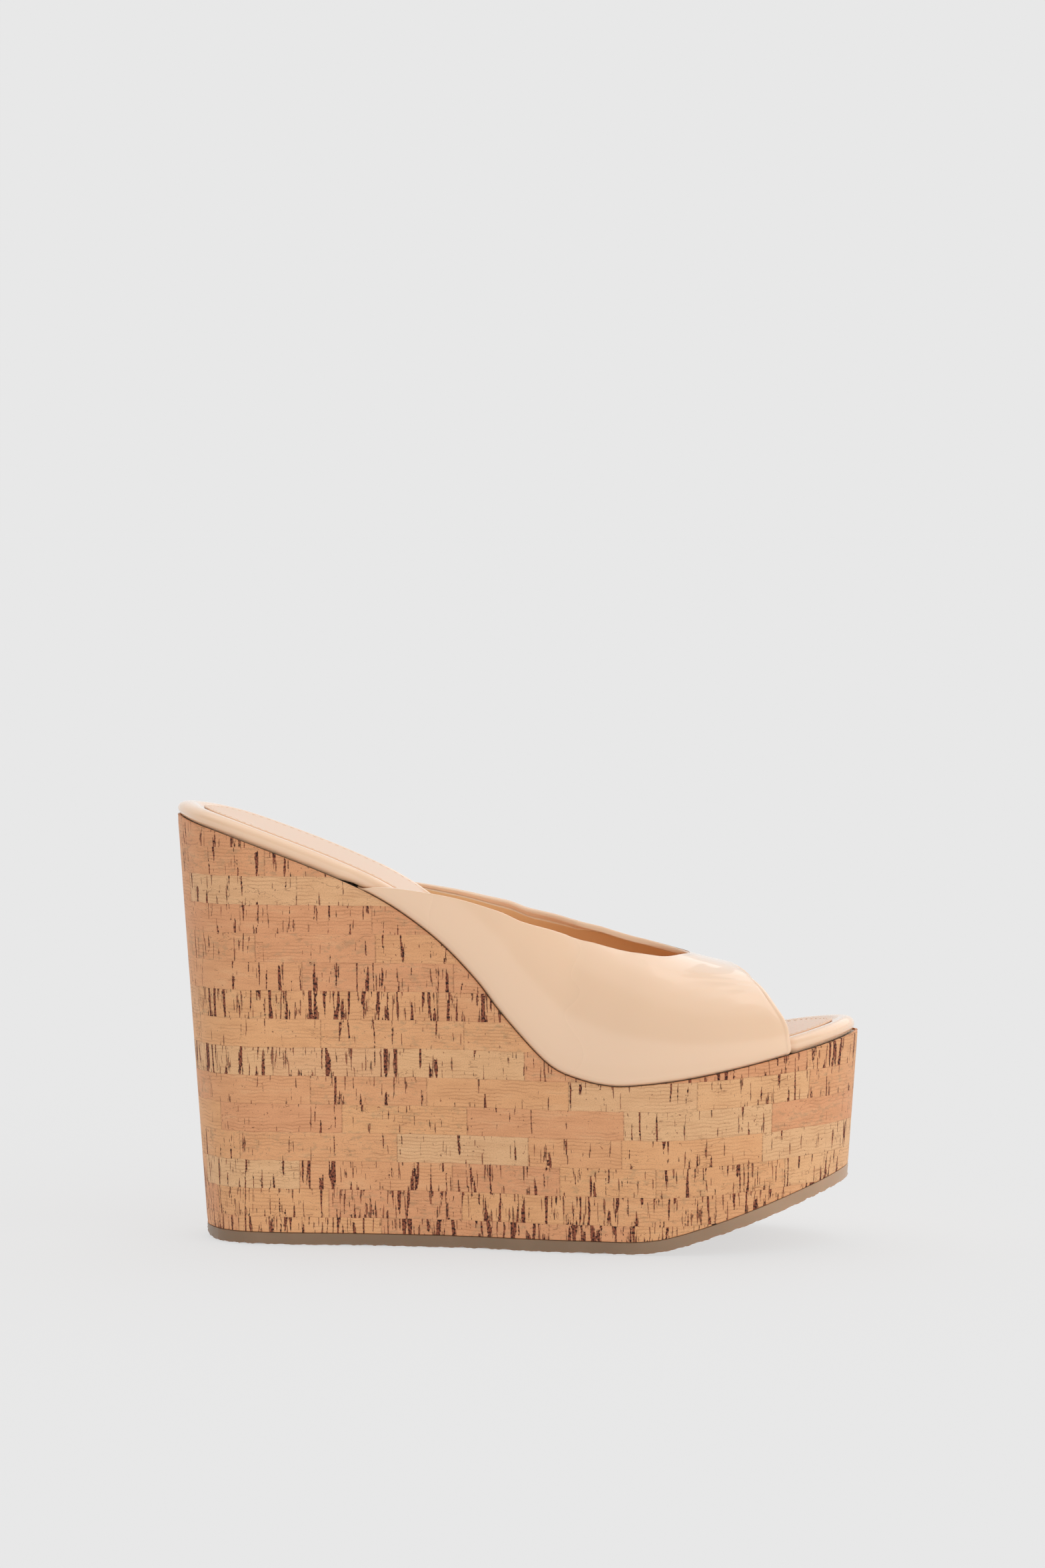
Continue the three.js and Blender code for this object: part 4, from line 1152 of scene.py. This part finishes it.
class SANDAL_OT_cork_wrap(bpy.types.Operator):
    """Builds the cork strip round the wedge"""
    bl_idname = "sandal.cork_wrap"
    bl_label = "Cork wrap"
    bl_options = {"REGISTER", "UNDO"}

    def execute(self, context):
        sizes, colours = context.scene.sandal_sizes, context.scene.sandal_colours
        cork = cork_veneer(colours.cork_light, colours.cork_pink, colours.cork_dark, sizes)
        settle(shape_cork_wrap(sizes), cork, "cork", "cork_wrap")
        return {"FINISHED"}


class SANDAL_OT_footbed(bpy.types.Operator):
    """Builds the wrapped insole edge, the foam and the stitched sock"""
    bl_idname = "sandal.footbed"
    bl_label = "Footbed"
    bl_options = {"REGISTER", "UNDO"}

    def execute(self, context):
        sizes, colours = context.scene.sandal_sizes, context.scene.sandal_colours
        patent = patent_leather("Patent leather, cast coat", colours.patent,
                                colours.patent_sheen)
        settle(shape_insole_wrap(), patent, "patent_leather", "insole_wrap")
        foam = shape_foam()
        settle(foam, cell_foam("Latex foam, moulded", linear("#f1ecdf"), 0.7),
               "footbed_foam", "foam_pad")
        sock = shape_sock()
        leather = patent_leather("Sock leather, cast coat", linear("#e9bd98"),
                                 linear("#ecc4a2"), coat=0.12)
        settle(sock, leather, "sock_leather", "sock_lining")
        self.sew(sizes)
        return {"FINISHED"}

    def sew(self, sizes):
        """Row of stitches just inside the sock's edge."""
        x, y, in_x, in_y, _ = outline_stops(420)
        line = over_footbed(x + in_x * SEAM_INSET, y + in_y * SEAM_INSET, SEAM_HEIGHT)
        places = (line + HEEL_BACK) * MM
        count = len(places)
        mesh = bpy.data.meshes.new("sock_stitches")
        mesh.from_pydata(places.tolist(), [(k, (k + 1) % count) for k in range(count)], [])
        row = bpy.data.objects.new("sock_stitches", mesh)
        bpy.context.scene.collection.objects.link(row)
        thread = twisted_thread()
        grow(row, stitch_tree(), {"Stitch length": sizes.stitch_length / 2,
                                  "Thread radius": sizes.thread / 2,
                                  "Pitch": sizes.stitch_pitch, "Thread": thread})
        settle(row, thread, "sock_leather")


class SANDAL_OT_upper(bpy.types.Operator):
    """Builds the patent leather upper, its interlining and its lining"""
    bl_idname = "sandal.upper"
    bl_label = "Upper"
    bl_options = {"REGISTER", "UNDO"}

    def execute(self, context):
        sizes, colours = context.scene.sandal_sizes, context.scene.sandal_colours
        patent = bpy.data.materials["Patent leather, cast coat"]
        outer = shape_upper("upper_outer_fine", outer_section(sizes), creases)
        settle(outer, patent, "patent_leather", "upper_outer")
        cloth = woven_cloth("Cotton interlining, woven", linear("#ece9e2"), linear("#dcd8cd"), 0.4)
        inner = shape_upper("upper_interlining_fine", interlining_section())
        settle(inner, cloth, "interlining_cloth", "upper_interlining")
        # The last colour is the painted highlight along the top edge of the lining.
        leather = grained_leather("Lining leather, drum dyed", colours.lining,
                                  colours.lining_deep, 0.5, linear("#f6e0c4"))
        lining = shape_upper("upper_lining_fine", lining_section())
        settle(lining, leather, "lining_leather", "upper_lining")
        return {"FINISHED"}


class SANDAL_OT_inner_parts(bpy.types.Operator):
    """Gives the wedge, boards, filler, shank, rivets and nails their finishes"""
    bl_idname = "sandal.inner_parts"
    bl_label = "Inner parts"
    bl_options = {"REGISTER", "UNDO"}

    def execute(self, context):
        dress("wedge_core", cell_foam("Wedge foam, moulded", linear("#e9e4d8"), 1.0))
        dress("bottom_filler", fibre_board("Felt filler, pressed", linear("#a58e70"),
                                           linear("#84705a"), 2.0))
        dress("insole_board", fibre_board("Cellulose board, pressed", linear("#c4a77e"),
                                          linear("#a98c64"), 1.5))
        dress("backpart_board", fibre_board("Shank board, dense", linear("#786247"),
                                            linear("#5d4a35"), 1.2))
        dress("steel_shank", brushed_metal("Spring steel, rolled", linear("#9a9fa4"), 0.35))
        brass = brushed_metal("Brass, drawn", linear("#c19a5b"), 0.3)
        steel = brushed_metal("Wire steel, drawn", linear("#a6a9ad"), 0.35)
        for k in (1, 2):
            dress(f"shank_rivet_{k}", brass)
        for k in (1, 2, 3, 4):
            dress(f"heel_nail_{k}", steel)
        return {"FINISHED"}


OPERATORS = (SANDAL_OT_stage, SANDAL_OT_outsole, SANDAL_OT_cork_wrap, SANDAL_OT_footbed,
             SANDAL_OT_upper, SANDAL_OT_inner_parts)


class SANDAL_PT_panel(bpy.types.Panel):
    """Sizes, colours and build steps of the sandal"""
    bl_idname = "SANDAL_PT_panel"
    bl_label = "Wedge mule sandal"
    bl_space_type = "VIEW_3D"
    bl_region_type = "UI"
    bl_category = "Sandal"

    def draw(self, context):
        for group in (context.scene.sandal_sizes, context.scene.sandal_colours):
            column = self.layout.column()
            for name in group.__annotations__:
                column.prop(group, name)
        for operator in OPERATORS:
            self.layout.operator(operator.bl_idname)


CLASSES = (SandalSizes, SandalColours, *OPERATORS, SANDAL_PT_panel)


def register():
    for made in CLASSES:
        bpy.utils.register_class(made)
    bpy.types.Scene.sandal_sizes = bpy.props.PointerProperty(type=SandalSizes)
    bpy.types.Scene.sandal_colours = bpy.props.PointerProperty(type=SandalColours)


def unregister():
    del bpy.types.Scene.sandal_sizes
    del bpy.types.Scene.sandal_colours
    for made in reversed(CLASSES):
        bpy.utils.unregister_class(made)


def main():
    register()
    bpy.ops.sandal.stage()
    bpy.ops.sandal.outsole()
    bpy.ops.sandal.cork_wrap()
    bpy.ops.sandal.footbed()
    bpy.ops.sandal.upper()
    bpy.ops.sandal.inner_parts()


if __name__ == "__main__":
    main()
